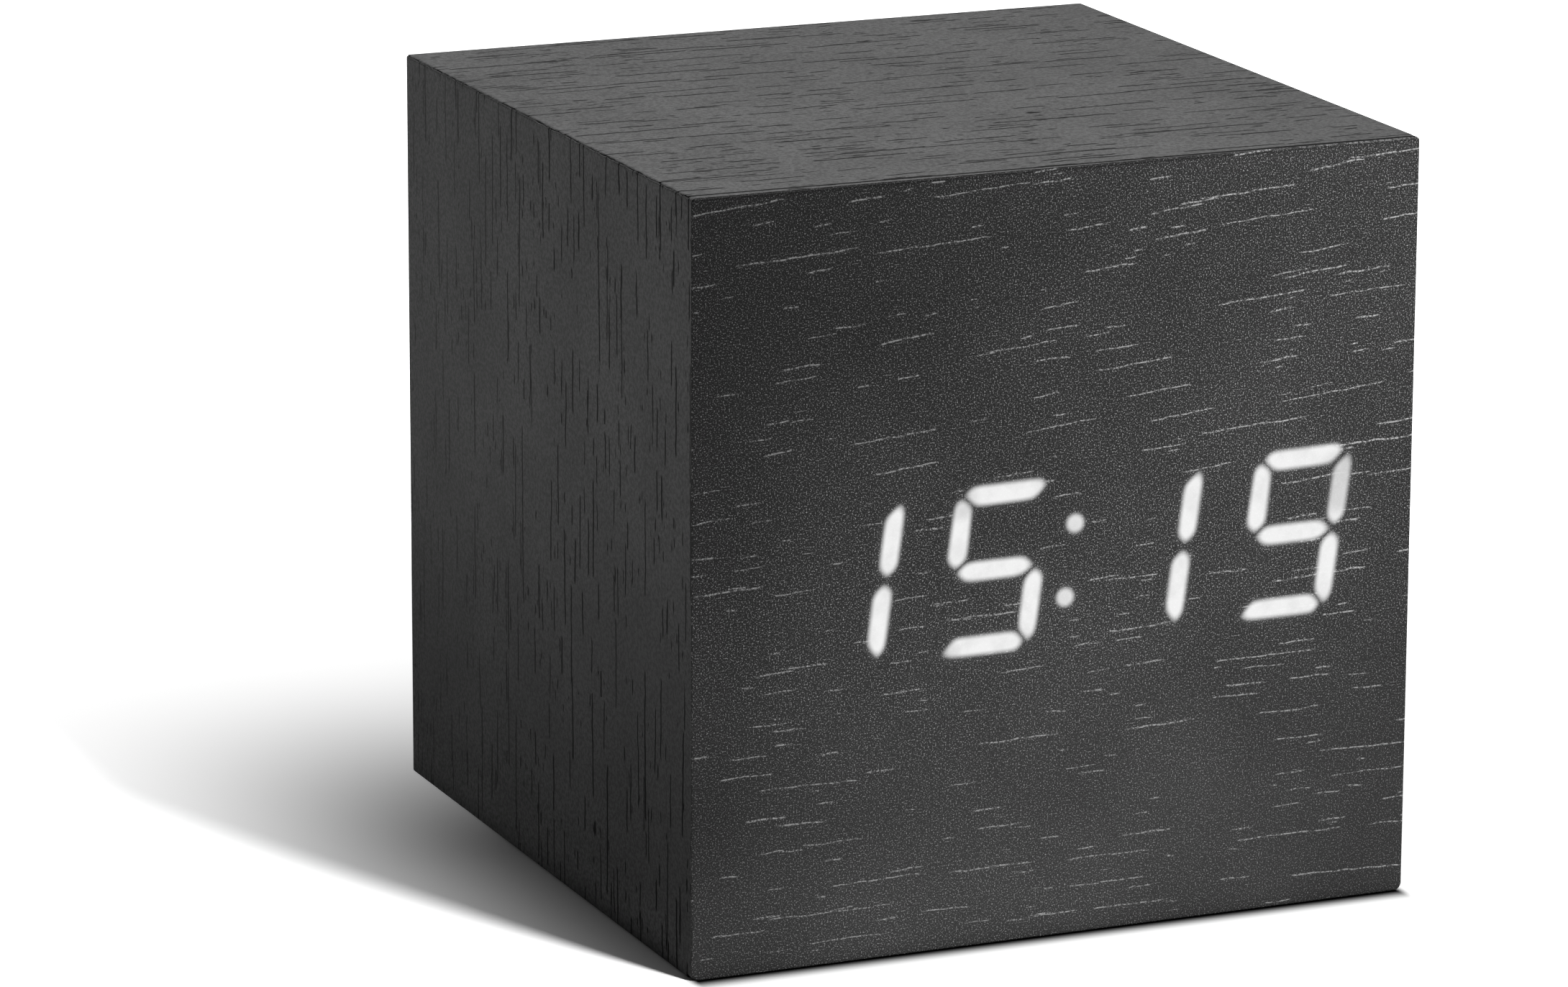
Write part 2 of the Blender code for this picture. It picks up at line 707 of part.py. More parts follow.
def make_screws():
    for i, (x, z) in enumerate(display_screw_places(), 1):
        seat = DISPLAY_BOARD_BACK_Y + GAP
        name = f"display_screw_{i}"
        make_screw(name, x, seat, z, SMALL_SCREW_LENGTH, steel, TOWARDS_BACK, SMALL_STEPS)
    for i, (x, z) in enumerate(BOSS_PLACES, 1):
        name = f"board_screw_{i}"
        make_screw(
            name, x, SEAT_IN_Y, z, SMALL_SCREW_LENGTH, steel, TOWARDS_FRONT, SMALL_STEPS
        )
    for i, (x, z) in enumerate(BACK_SCREW_PLACES, 1):
        seat = PANEL_OUT_Y - BACK_SCREW_SINK + GAP
        name = f"back_screw_{i}"
        make_screw(
            name, x, seat, z, BACK_SCREW_LENGTH, black_steel, TOWARDS_BACK, ROUND_STEPS
        )


make_screws()


# Back panel: one moulding with the battery tray and the bosses for the main board

def make_back_panel():
    shape = bmesh.new()
    low = (-PANEL_HALF_WIDTH, PANEL_IN_Y, PANEL_LOW_Z)
    high = (PANEL_HALF_WIDTH, PANEL_OUT_Y, PANEL_HIGH_Z)
    round_edges(shape, block(shape, low, high), PANEL_CORNER_RADIUS)
    made = piece("back_panel", shape, black_plastic, (0, PANEL_OUT_Y, HALF))

    tray = bmesh.new()
    low = (-TRAY_HALF, TRAY_BACK_Y, TRAY_LOW_Z - TRAY_WALL)
    high = (TRAY_HALF, PANEL_IN_Y + OVERRUN, TRAY_HIGH_Z + TRAY_WALL)
    block(tray, low, high)
    for x, z in BOSS_PLACES:
        start = (x, BOARD_OUT_Y + GAP, z)
        rod(tray, BOSS_RADIUS, start, (x, PANEL_IN_Y + OVERRUN, z), SMALL_STEPS)
    combine(made, "UNION", tray)

    opening = bmesh.new()
    out_y = PANEL_OUT_Y + OVERRUN
    low = (-OPENING_HALF, LEDGE_Y, OPENING_LOW_Z)
    points = block(opening, low, (OPENING_HALF, out_y, OPENING_HIGH_Z))
    round_edges(opening, points, DOOR_CORNER_RADIUS)
    combine(made, "DIFFERENCE", opening)

    well = bmesh.new()
    low = (-TRAY_INNER_HALF, TRAY_FLOOR_Y, TRAY_LOW_Z)
    block(well, low, (TRAY_INNER_HALF, LEDGE_Y + OVERRUN, TRAY_HIGH_Z))
    combine(made, "DIFFERENCE", well)

    ribs = bmesh.new()
    rib_half = CELL_LENGTH / 2 - CONTACT_SIZE / 2
    for i in range(1, CELL_COUNT):
        z = TRAY_LOW_Z + GAP / 2 + i * CELL_PITCH
        low = (-rib_half, TRAY_FLOOR_Y - OVERRUN, z - CELL_RIB_WIDTH / 2)
        block(ribs, low, (rib_half, TRAY_FLOOR_Y + CELL_RIB_HEIGHT, z + CELL_RIB_WIDTH / 2))
    combine(made, "UNION", ribs)

    windows = bmesh.new()
    for side in (-1, 1):
        middle = side * DOOR_TAB_PLACE
        reach = DOOR_TAB_WIDTH / 2 + GAP
        low = (middle - reach, DOOR_TAB_IN_Y - DOOR_TAB_SWING, TRAY_HIGH_Z - OVERRUN)
        high_z = TRAY_HIGH_Z + TRAY_WALL + OVERRUN
        block(windows, low, (middle + reach, PANEL_IN_Y + OVERRUN / 2, high_z))
    combine(made, "DIFFERENCE", windows)

    # One side of the tray carries the end contact of the first cell, the other that of the last
    slots = bmesh.new()
    for side, z in ((-1, CELL_FIRST_Z), (1, CELL_FIRST_Z + (CELL_COUNT - 1) * CELL_PITCH)):
        middle = side * CONTACT_X
        reach_x = CONTACT_THICKNESS / 2 + GAP
        reach_z = CONTACT_TAB_WIDTH / 2 + GAP
        low = (middle - reach_x, TRAY_BACK_Y - OVERRUN, z - reach_z)
        block(slots, low, (middle + reach_x, TRAY_FLOOR_Y + OVERRUN, z + reach_z))
    combine(made, "DIFFERENCE", slots)

    scoop = bmesh.new()
    floor_y = PANEL_OUT_Y - SCOOP_DEPTH
    start = (0, floor_y, OPENING_LOW_Z)
    rod(scoop, SCOOP_RADIUS, start, (0, out_y, OPENING_LOW_Z))
    combine(made, "DIFFERENCE", scoop)

    notch = bmesh.new()
    reach = TONGUE_NOSE_WIDTH / 2 + GAP
    low = (-reach, PANEL_IN_Y - OVERRUN, OPENING_LOW_Z - TONGUE_NOSE_REACH)
    block(notch, low, (reach, out_y, OPENING_LOW_Z + GAP))
    combine(made, "DIFFERENCE", notch)

    holes = bmesh.new()
    low_y = PANEL_IN_Y - OVERRUN
    for x in BUTTON_XS:
        start = (x, low_y, BUTTON_ROW_Z)
        rod(holes, BUTTON_RADIUS + GAP, start, (x, out_y, BUTTON_ROW_Z))
    start = (SOCKET_X, low_y, SWITCH_ROW_Z)
    rod(holes, SOCKET_NOSE_RADIUS + GAP, start, (SOCKET_X, out_y, SWITCH_ROW_Z))
    start = (VOICE_SENSOR_X, low_y, SWITCH_ROW_Z)
    end = (VOICE_SENSOR_X, out_y, SWITCH_ROW_Z)
    rod(holes, VOICE_HOLE_RADIUS, start, end, SMALL_STEPS)
    for across, up in ((0, 0), (-1, 0), (1, 0), (0, -1), (0, 1)):
        x = BUZZER_X + across * SOUND_HOLE_RING
        z = BUZZER_Z + up * SOUND_HOLE_RING
        rod(holes, SOUND_HOLE_RADIUS, (x, low_y, z), (x, out_y, z), SMALL_STEPS)
    slot_low, slot_high = lever_slot()
    block(holes, (slot_low[0], low_y, slot_low[1]), (slot_high[0], out_y, slot_high[1]))
    for x, z in BACK_SCREW_PLACES:
        rod(holes, SCREW_RADIUS + GAP, (x, low_y, z), (x, out_y, z), SMALL_STEPS)
    combine(made, "DIFFERENCE", holes)

    sinks = bmesh.new()
    for x, z in BACK_SCREW_PLACES:
        start = (x, PANEL_OUT_Y - BACK_SCREW_SINK, z)
        rod(sinks, SCREW_HEAD_RADIUS + GAP, start, (x, out_y, z))
    combine(made, "DIFFERENCE", sinks)

    for x, z in BOSS_PLACES:
        hole_y = SEAT_IN_Y + SMALL_SCREW_LENGTH + GAP
        screw_hole(made, x, z, BOARD_OUT_Y - OVERRUN, hole_y)


def lever_slot():
    """The low and high (x, z) corners of the slot that the switch's lever moves in."""
    first_x = SWITCH_PLACE_X - SWITCH_TRAVEL / 2
    last_x = SWITCH_PLACE_X + SWITCH_TRAVEL / 2
    reach_x = LEVER_LENGTH / 2 + GAP
    reach_z = LEVER_WIDTH / 2 + GAP
    low = (first_x - reach_x, SWITCH_ROW_Z - reach_z)
    high = (last_x + reach_x, SWITCH_ROW_Z + reach_z)
    return low, high


make_back_panel()


# Battery door: two tabs hook behind the panel at its top, a sprung tongue holds it at its bottom

def make_battery_door():
    out_y = PANEL_OUT_Y
    in_y = PANEL_OUT_Y - DOOR_THICKNESS
    half = OPENING_HALF - GAP
    low_z = OPENING_LOW_Z + GAP
    high_z = OPENING_HIGH_Z - GAP
    shape = bmesh.new()
    points = block(shape, (-half, in_y, low_z), (half, out_y, high_z))
    round_edges(shape, points, DOOR_CORNER_RADIUS)
    hinge_line = (0, PANEL_OUT_Y, OPENING_HIGH_Z)
    made = piece("battery_door", shape, black_plastic, hinge_line)

    roots = bmesh.new()
    tabs = bmesh.new()
    for side in (-1, 1):
        near = side * DOOR_TAB_PLACE - DOOR_TAB_WIDTH / 2
        far = side * DOOR_TAB_PLACE + DOOR_TAB_WIDTH / 2
        root_z = high_z - DOOR_TAB_ROOT
        block(roots, (near, DOOR_TAB_IN_Y, root_z), (far, in_y + OVERRUN, high_z))
        tip_z = OPENING_HIGH_Z + DOOR_TAB_REACH
        block(tabs, (near, DOOR_TAB_IN_Y, root_z), (far, DOOR_TAB_OUT_Y, tip_z))
    combine(made, "UNION", roots)
    combine(made, "UNION", tabs)

    slits = bmesh.new()
    for side in (-1, 1):
        middle = side * (TONGUE_WIDTH + TONGUE_SLIT) / 2
        near = middle - TONGUE_SLIT / 2
        far = middle + TONGUE_SLIT / 2
        top_z = low_z + TONGUE_LENGTH
        block(slits, (near, in_y - OVERRUN, low_z - OVERRUN), (far, out_y + OVERRUN, top_z))
    combine(made, "DIFFERENCE", slits)

    nose = bmesh.new()
    reach = TONGUE_NOSE_WIDTH / 2
    middle_y = (in_y + out_y) / 2
    low = (-reach, in_y, low_z - TONGUE_NOSE_REACH)
    block(nose, low, (reach, middle_y, low_z + OVERRUN))
    combine(made, "UNION", nose)

    ridges = bmesh.new()
    for i in range(1, RIDGE_COUNT + 1):
        z = low_z + i * TONGUE_RIDGE_PITCH
        near = (-reach, out_y - OVERRUN, z - TONGUE_RIDGE_WIDTH / 2)
        far = (reach, out_y + TONGUE_RIDGE_RISE, z + TONGUE_RIDGE_WIDTH / 2)
        block(ridges, near, far)
    combine(made, "UNION", ridges)


make_battery_door()


# AAA cells and their contacts. The first cell's nub points left, and they alternate upwards

def cell_profile():
    shoulder = CELL_LENGTH - CELL_NUB_HEIGHT
    return (
        (0, CELL_LENGTH),
        (CELL_NUB_RADIUS, CELL_LENGTH),
        (CELL_NUB_RADIUS, shoulder),
        (CELL_RADIUS - CELL_EDGE_RADIUS, shoulder),
        (CELL_RADIUS, shoulder - CELL_EDGE_RADIUS),
        (CELL_RADIUS, CELL_EDGE_RADIUS),
        (CELL_RADIUS - CELL_EDGE_RADIUS, 0),
        (0, 0),
    )


def spring_points():
    """A tapering coil from the contact, at z 0, to the cell."""
    count = SPRING_TURNS * SPRING_STEPS
    points = []
    for i in range(count + 1):
        share = i / count
        angle = 2 * math.pi * i / SPRING_STEPS
        radius = SPRING_BASE_RADIUS + share * (SPRING_TIP_RADIUS - SPRING_BASE_RADIUS)
        height = SPRING_WIRE_RADIUS + share * (SPRING_LENGTH - 2 * SPRING_WIRE_RADIUS)
        points.append((radius * math.cos(angle), radius * math.sin(angle), height))
    return points


def make_cells():
    flat_end = CONTACT_X - CONTACT_THICKNESS / 2 - GAP - SPRING_LENGTH - GAP
    spring_foot = CONTACT_X - CONTACT_THICKNESS / 2 - GAP
    for i in range(CELL_COUNT):
        z = CELL_FIRST_Z + i * CELL_PITCH
        nub_side = 1 if i % 2 else -1
        along = TOWARDS_RIGHT if i % 2 else TOWARDS_LEFT
        place = (-nub_side * flat_end, CELL_Y, z)
        turned(f"aaa_cell_{i + 1}", cell_profile(), cell_sleeve, place, along)
        foot = (-nub_side * spring_foot, CELL_Y, z)
        name = f"contact_spring_{i + 1}"
        wire(name, spring_points(), SPRING_WIRE_RADIUS, tinned_metal, 1, foot, along)


def make_contact(name, side, first, last, tab):
    """A flat plate on one end wall, from the first to the last cell that it touches.

    Its outline lies in local X, which is world Z, and local Y, which is world -Y."""
    reach = CONTACT_SIZE / 2
    length = (last - first) * CELL_PITCH / 2 + reach
    outline = [(-length, -reach), (length, -reach), (length, reach), (-length, reach)]
    if tab:
        tab_reach = CONTACT_TAB_WIDTH / 2
        tip = CELL_Y - TRAY_BACK_Y + CONTACT_TAB_REACH
        near = [(length, reach), (tab_reach, reach), (tab_reach, tip)]
        outline = outline[:2] + near + [(-tab_reach, tip), (-tab_reach, reach), (-length, reach)]
    z = CELL_FIRST_Z + (first + last) / 2 * CELL_PITCH
    made = plate(name, outline, CONTACT_THICKNESS, tinned_metal, (0, 0, 0), (0, 0, 0))
    made.matrix_world = Matrix.Translation((side * CONTACT_X, CELL_Y, z)) @ Matrix(
        ((0, 0, 1, 0), (0, -1, 0, 0), (1, 0, 0, 0), (0, 0, 0, 1))
    )


make_cells()
make_contact("contact_plus", -1, 0, 0, True)
make_contact("contact_link_left", -1, 1, 2, False)
make_contact("contact_link_right", 1, 0, 1, False)
make_contact("contact_minus", 1, 2, 2, True)


# Main board, held to the back panel's bosses

def make_main_board():
    shape = bmesh.new()
    low = (-BOARD_HALF_WIDTH, BOARD_IN_Y, BOARD_LOW_Z)
    block(shape, low, (BOARD_HALF_WIDTH, BOARD_OUT_Y, BOARD_HIGH_Z))
    middle_z = (BOARD_LOW_Z + BOARD_HIGH_Z) / 2
    made = piece("main_board", shape, board_green, (0, BOARD_OUT_Y, middle_z))
    for x, z in BOSS_PLACES:
        screw_hole(made, x, z, BOARD_IN_Y - OVERRUN, BOARD_OUT_Y + OVERRUN)


def make_buttons():
    """Each button: a push switch on the board, its plunger, and the cap that presses it."""
    plunger_low = SEAT_OUT_Y + PLUNGER_SEAT
    plunger_high = TACT_Y + PLUNGER_RISE
    stem_y = plunger_high + GAP
    flange_high = PANEL_IN_Y - GAP - stem_y
    flange_low = flange_high - BUTTON_FLANGE_THICKNESS
    top = PANEL_OUT_Y + BUTTON_RISE - stem_y
    profile = (
        (0, top),
        (BUTTON_RADIUS - BUTTON_EDGE_RADIUS, top),
        (BUTTON_RADIUS, top - BUTTON_EDGE_RADIUS),
        (BUTTON_RADIUS, flange_high),
        (BUTTON_FLANGE_RADIUS, flange_high),
        (BUTTON_FLANGE_RADIUS, flange_low),
        (BUTTON_STEM_RADIUS, flange_low),
        (BUTTON_STEM_RADIUS, 0),
        (0, 0),
    )
    for name, x in zip(BUTTON_NAMES, BUTTON_XS):
        z = BUTTON_ROW_Z
        reach = TACT_SIZE / 2
        shape = bmesh.new()
        block(shape, (x - reach, SEAT_OUT_Y, z - reach), (x + reach, TACT_Y, z + reach))
        tact = piece(f"push_switch_{name}", shape, chip_black, (x, SEAT_OUT_Y, z))
        hole = bmesh.new()
        start = (x, plunger_low - BUTTON_TRAVEL - GAP, z)
        rod(hole, PLUNGER_RADIUS + GAP, start, (x, TACT_Y + OVERRUN, z), SMALL_STEPS)
        combine(tact, "DIFFERENCE", hole)
        shape = bmesh.new()
        rod(shape, PLUNGER_RADIUS, (x, plunger_low, z), (x, plunger_high, z), SMALL_STEPS)
        piece(f"push_plunger_{name}", shape, black_plastic, (x, plunger_low, z))
        place = (x, stem_y, z)
        turned(f"button_{name}", profile, button_plastic, place, TOWARDS_BACK)


def make_slide_switch():
    x = SWITCH_PLACE_X
    z = SWITCH_ROW_Z
    reach = (SWITCH_LENGTH / 2, SWITCH_WIDTH / 2)
    shape = bmesh.new()
    low = (x - reach[0], SEAT_OUT_Y, z - reach[1])
    block(shape, low, (x + reach[0], SWITCH_Y, z + reach[1]))
    made = piece("switch_body", shape, tinned_metal, (x, SEAT_OUT_Y, z))
    rest_x = x - SWITCH_TRAVEL / 2
    slider_high = SWITCH_Y - SWITCH_WALL - GAP
    slider_low = slider_high - SLIDER_HEIGHT
    hollow = bmesh.new()
    reach_x = (SLIDER_LENGTH + SWITCH_TRAVEL) / 2 + GAP
    reach_z = SLIDER_WIDTH / 2 + GAP
    low = (x - reach_x, slider_low - GAP, z - reach_z)
    block(hollow, low, (x + reach_x, slider_high + GAP, z + reach_z))
    combine(made, "DIFFERENCE", hollow)
    slot = bmesh.new()
    slot_low, slot_high = lever_slot()
    low = (slot_low[0], slider_high, slot_low[1])
    block(slot, low, (slot_high[0], SWITCH_Y + OVERRUN, slot_high[1]))
    combine(made, "DIFFERENCE", slot)

    shape = bmesh.new()
    low = (rest_x - SLIDER_LENGTH / 2, slider_low, z - SLIDER_WIDTH / 2)
    block(shape, low, (rest_x + SLIDER_LENGTH / 2, slider_high, z + SLIDER_WIDTH / 2))
    slider = piece("switch_slider", shape, black_plastic, (rest_x, slider_high, z))
    lever = bmesh.new()
    low = (rest_x - LEVER_LENGTH / 2, slider_high - OVERRUN, z - LEVER_WIDTH / 2)
    high_y = PANEL_OUT_Y + LEVER_RISE
    block(lever, low, (rest_x + LEVER_LENGTH / 2, high_y, z + LEVER_WIDTH / 2))
    combine(slider, "UNION", lever)


def make_power_socket():
    x = SOCKET_X
    z = SWITCH_ROW_Z
    reach = SOCKET_SIZE / 2
    shape = bmesh.new()
    body_y = PANEL_IN_Y - GAP
    block(shape, (x - reach, SEAT_OUT_Y, z - reach), (x + reach, body_y, z + reach))
    made = piece("power_socket", shape, black_plastic, (x, SEAT_OUT_Y, z))
    nose_y = PANEL_OUT_Y - GAP
    nose = bmesh.new()
    rod(nose, SOCKET_NOSE_RADIUS, (x, body_y - OVERRUN, z), (x, nose_y, z))
    combine(made, "UNION", nose)
    bore = bmesh.new()
    floor_y = nose_y - SOCKET_BORE_DEPTH
    rod(bore, SOCKET_BORE_RADIUS, (x, floor_y, z), (x, nose_y + OVERRUN, z))
    combine(made, "DIFFERENCE", bore)
    shape = bmesh.new()
    foot_y = floor_y + GAP
    end = (x, foot_y + SOCKET_PIN_LENGTH, z)
    rod(shape, SOCKET_PIN_RADIUS, (x, foot_y, z), end, SMALL_STEPS)
    piece("power_socket_pin", shape, tinned_metal, (x, foot_y, z))


def make_voice_sensor():
    """A microphone capsule that stands on two legs behind its hole in the panel."""
    x = VOICE_SENSOR_X
    z = SWITCH_ROW_Z
    top_y = PANEL_IN_Y - GAP
    low_y = top_y - VOICE_SENSOR_HEIGHT
    shape = bmesh.new()
    rod(shape, VOICE_SENSOR_RADIUS, (x, low_y, z), (x, top_y, z))
    made = piece("sound_sensor", shape, tinned_metal, (x, top_y, z))
    legs = bmesh.new()
    thick = VOICE_LEG_SIZE / 2
    for side in (-1, 1):
        middle = x + side * VOICE_LEG_SPACING / 2
        low = (middle - thick, SEAT_OUT_Y, z - thick)
        block(legs, low, (middle + thick, low_y + OVERRUN, z + thick))
    combine(made, "UNION", legs)


def make_buzzer():
    flat = BUZZER_RADIUS - BUZZER_EDGE_RADIUS
    height = BUZZER_HEIGHT
    profile = (
        (0, height / 2),
        (BUZZER_HOLE_RADIUS, height / 2),
        (BUZZER_HOLE_RADIUS, height),
        (flat, height),
        (BUZZER_RADIUS, height - BUZZER_EDGE_RADIUS),
        (BUZZER_RADIUS, 0),
        (0, 0),
    )
    place = (BUZZER_X, SEAT_OUT_Y, BUZZER_Z)
    turned("buzzer", profile, chip_black, place, TOWARDS_BACK)


def make_chip(name, x, foot_y, z, side):
    """A chip on the face at foot_y: side is 1 where it stands out along +Y, and -1 along -Y."""
    shape = bmesh.new()
    top_y = foot_y + side * CHIP_HEIGHT
    reach = (CHIP_LENGTH / 2, CHIP_WIDTH / 2)
    low = (x - reach[0], min(foot_y, top_y), z - reach[1])
    block(shape, low, (x + reach[0], max(foot_y, top_y), z + reach[1]))
    made = piece(name, shape, chip_black, (x, foot_y, z))
    legs = bmesh.new()
    leg_y = foot_y + side * CHIP_LEG_THICKNESS
    for level in (-1, 1):
        for i in range(CHIP_LEG_COUNT):
            middle = x + (i - (CHIP_LEG_COUNT - 1) / 2) * CHIP_LEG_PITCH
            start_z = z + level * (reach[1] - OVERRUN)
            end_z = z + level * (reach[1] + CHIP_LEG_REACH)
            near = (middle - CHIP_LEG_WIDTH / 2, min(foot_y, leg_y), min(start_z, end_z))
            far = (middle + CHIP_LEG_WIDTH / 2, max(foot_y, leg_y), max(start_z, end_z))
            block(legs, near, far)
    combine(made, "UNION", legs)


def make_header(name, foot_y, z, side):
    """An open plastic connector that stands out from a board along side times Y."""
    shape = bmesh.new()
    x = HEADER_PLACE_X
    reach = (HEADER_LENGTH / 2, HEADER_WIDTH / 2)
    mouth_y = foot_y + side * HEADER_DEPTH
    low = (x - reach[0], min(foot_y, mouth_y), z - reach[1])
    block(shape, low, (x + reach[0], max(foot_y, mouth_y), z + reach[1]))
    made = piece(name, shape, cream_plastic, (x, foot_y, z))
    hollow = bmesh.new()
    floor_y = mouth_y - side * HEADER_SOCKET_DEPTH
    end_y = mouth_y + side * OVERRUN
    inner = (reach[0] - HEADER_WALL, reach[1] - HEADER_WALL)
    low = (x - inner[0], min(floor_y, end_y), z - inner[1])
    block(hollow, low, (x + inner[0], max(floor_y, end_y), z + inner[1]))
    combine(made, "DIFFERENCE", hollow)
    return floor_y + side * GAP


def make_ribbon(start_y, end_y):
    """The flat cable from the display board to the main board, in one loose bend."""
    start = (0, start_y, DISPLAY_HEIGHT)
    end = (0, end_y, HEADER_Z)
    route = bow(start, end, RIBBON_BOW, RIBBON_STEPS, 1)
    data = curve_data("display_ribbon", [(p.y, p.z, 0) for p in route], "3D")
    data.extrude = RIBBON_WIDTH / 2
    made = add_object("display_ribbon", data, grey_ribbon)
    made.matrix_world = Matrix.Translation((HEADER_PLACE_X, 0, 0)) @ Matrix(
        ((0, 0, 1, 0), (1, 0, 0, 0), (0, 1, 0, 0), (0, 0, 0, 1))
    )
    thick = made.modifiers.new("thickness", "SOLIDIFY")
    thick.thickness = RIBBON_THICKNESS
    thick.offset = 0


def make_small_parts():
    make_chip("display_driver", CHIP_PLACE_X, DISPLAY_BOARD_BACK_Y + GAP, DISPLAY_HEIGHT, 1)
    middle_z = (BOARD_LOW_Z + BOARD_HIGH_Z) / 2
    make_chip("clock_chip", CHIP_PLACE_X, SEAT_IN_Y, middle_z, -1)
    start_y = make_header("display_header", DISPLAY_BOARD_BACK_Y + GAP, DISPLAY_HEIGHT, 1)
    end_y = make_header("main_header", SEAT_IN_Y, HEADER_Z, -1)
    make_ribbon(start_y, end_y)

    shape = bmesh.new()
    y = SEAT_IN_Y - CRYSTAL_RADIUS
    z = BOARD_LOW_Z + CRYSTAL_RISE
    low = (CRYSTAL_X, y, z - CRYSTAL_LENGTH / 2)
    high = (CRYSTAL_X, y, z + CRYSTAL_LENGTH / 2)
    rod(shape, CRYSTAL_RADIUS, low, high, SMALL_STEPS)
    piece("clock_crystal", shape, tinned_metal, (CRYSTAL_X, y, z))

    edge = BUZZER_EDGE_RADIUS
    profile = (
        (0, CAPACITOR_HEIGHT),
        (CAPACITOR_RADIUS - edge, CAPACITOR_HEIGHT),
        (CAPACITOR_RADIUS, CAPACITOR_HEIGHT - edge),
        (CAPACITOR_RADIUS, 0),
        (0, 0),
    )
    place = (CAPACITOR_X, SEAT_IN_Y, BOARD_HIGH_Z - CAPACITOR_DROP)
    turned("capacitor", profile, blue_sleeve, place, TOWARDS_FRONT)


def make_leads():
    """The two wires from the tray's end contacts to their pads on the main board."""
    tab_y = TRAY_BACK_Y - CONTACT_TAB_REACH - GAP
    pad_x = BOARD_HALF_WIDTH - BOSS_INSET
    pad_z = BOARD_LOW_Z + LEAD_PAD_RISE
    last_z = CELL_FIRST_Z + (CELL_COUNT - 1) * CELL_PITCH
    for name, side, z, finish in (
        ("lead_plus", -1, CELL_FIRST_Z, red_wire),
        ("lead_minus", 1, last_z, black_wire),
    ):
        start = (side * CONTACT_X, tab_y, z)
        end = (side * pad_x, SEAT_IN_Y, pad_z)
        points = bow(start, end, LEAD_BOW, LEAD_STEPS, -1)
        wire(name, points, LEAD_RADIUS, finish, 2)


make_main_board()
make_buttons()
make_slide_switch()
make_power_socket()
make_voice_sensor()
make_buzzer()
make_small_parts()
make_leads()

# Round pieces are shaded smooth, with their edges kept sharp
for made in clock.objects:
    if made.type == "MESH":
        made.data.shade_smooth()
        made.data.set_sharp_from_angle(angle=SHARP_ANGLE)
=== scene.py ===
"""The looks of a small cube clock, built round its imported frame: a box of four mitred boards in
near-black wood-grain film, a film front that white digits shine through, and a black moulded back."""

import math

import bmesh
import bpy
import numpy as np
from mathutils import Matrix, Vector


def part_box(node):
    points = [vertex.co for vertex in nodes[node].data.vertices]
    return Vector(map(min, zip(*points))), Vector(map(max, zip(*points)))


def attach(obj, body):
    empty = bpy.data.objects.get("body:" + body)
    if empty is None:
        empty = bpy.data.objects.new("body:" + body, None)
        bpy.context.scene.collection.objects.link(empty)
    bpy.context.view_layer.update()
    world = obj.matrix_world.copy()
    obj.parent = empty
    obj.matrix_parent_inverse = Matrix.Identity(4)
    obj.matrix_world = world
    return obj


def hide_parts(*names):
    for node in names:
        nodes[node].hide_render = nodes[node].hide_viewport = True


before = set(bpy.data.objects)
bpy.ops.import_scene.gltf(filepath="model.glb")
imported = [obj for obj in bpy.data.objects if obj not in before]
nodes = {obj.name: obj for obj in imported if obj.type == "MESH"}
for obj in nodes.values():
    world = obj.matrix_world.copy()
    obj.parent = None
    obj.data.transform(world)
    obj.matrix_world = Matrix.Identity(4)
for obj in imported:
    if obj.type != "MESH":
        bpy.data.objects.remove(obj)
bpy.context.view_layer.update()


# The photographer's table: a white sheet with a painted contact shadow in a thin strip at the clock's
# foot, a long lens a little above and to the left of the clock, a soft lamp to the right of the lens,
# and a dim even room. The lamp throws the shadow to the back left, where the sheet's glow comes back
# in as painted light, so that the shadow runs out to white.

LENS_PLACE = Vector((-0.261039, -0.582566, 0.194960))
LENS_LOOKS = Vector((0.382059, 0.890198, -0.248152)).normalized()
LENS_ROLL = math.radians(0.201)
LENS_LENGTH = 168.37
LENS_NEAREST = 0.01
FILM_WIDTH = 36.0
KEY_BEARING = math.radians(21.6)
KEY_HEIGHT = math.radians(42)
KEY_DISTANCE = 1.4
KEY_SIZE = 0.17
KEY_POWER = 29.5
ROOM_LIGHT = 0.035
SHEET_HALF = 3.0
SHEET_GREY = 0.96
FADE_ACROSS_MM = (-76.0, -30.5)
FADE_BACK_MM = (6.0, 79.0)
# The contact numbers shape a painted contact shadow: the sheet darkened in a thin strip round the front's
# foot.
CONTACT_MM = (0.1, 2.9)
CONTACT_ENDS_MM = (-34.0, -31.0)
CONTACT_ASIDE = 2.6
CONTACT_INSET_MM = 0.6


class Reading:
    """A number or a place read at every point of a piece: what a node gives out. Readings and plain
    numbers add, subtract, multiply, divide and compare, and each such step is one more node."""

    def __init__(self, socket):
        self.socket = socket
        self.tree = socket.id_data

    def __add__(self, other):
        return sums("ADD", self, other)

    def __sub__(self, other):
        return sums("SUBTRACT", self, other)

    def __rsub__(self, other):
        return sums("SUBTRACT", other, self)

    def __mul__(self, other):
        return sums("MULTIPLY", self, other)

    def __truediv__(self, other):
        return sums("DIVIDE", self, other)

    def __lt__(self, other):
        return sums("LESS_THAN", self, other)

    def __gt__(self, other):
        return sums("GREATER_THAN", self, other)

    def __abs__(self):
        return sums("ABSOLUTE", self)


def put(tree, kind, inputs=(), output=0, **settings):
    """Adds a node to a material and gives the reading of one output, or of each of several named
    in a tuple. inputs pairs a socket's name or number with a number or a reading."""
    made = tree.nodes.new("ShaderNode" + kind)
    for name, value in settings.items():
        setattr(made, name, value)
    for socket, value in inputs:
        if isinstance(value, Reading):
            tree.links.new(value.socket, made.inputs[socket])
        else:
            made.inputs[socket].default_value = value
    if isinstance(output, tuple):
        return [Reading(made.outputs[name]) for name in output]
    return Reading(made.outputs[output])


def sums(operation, *values):
    """One step of arithmetic on readings and numbers."""
    tree = next(value.tree for value in values if isinstance(value, Reading))
    return put(tree, "Math", enumerate(values), operation=operation)


def most(*values):
    """The largest of several readings and numbers."""
    found = values[0]
    for value in values[1:]:
        found = sums("MAXIMUM", found, value)
    return found


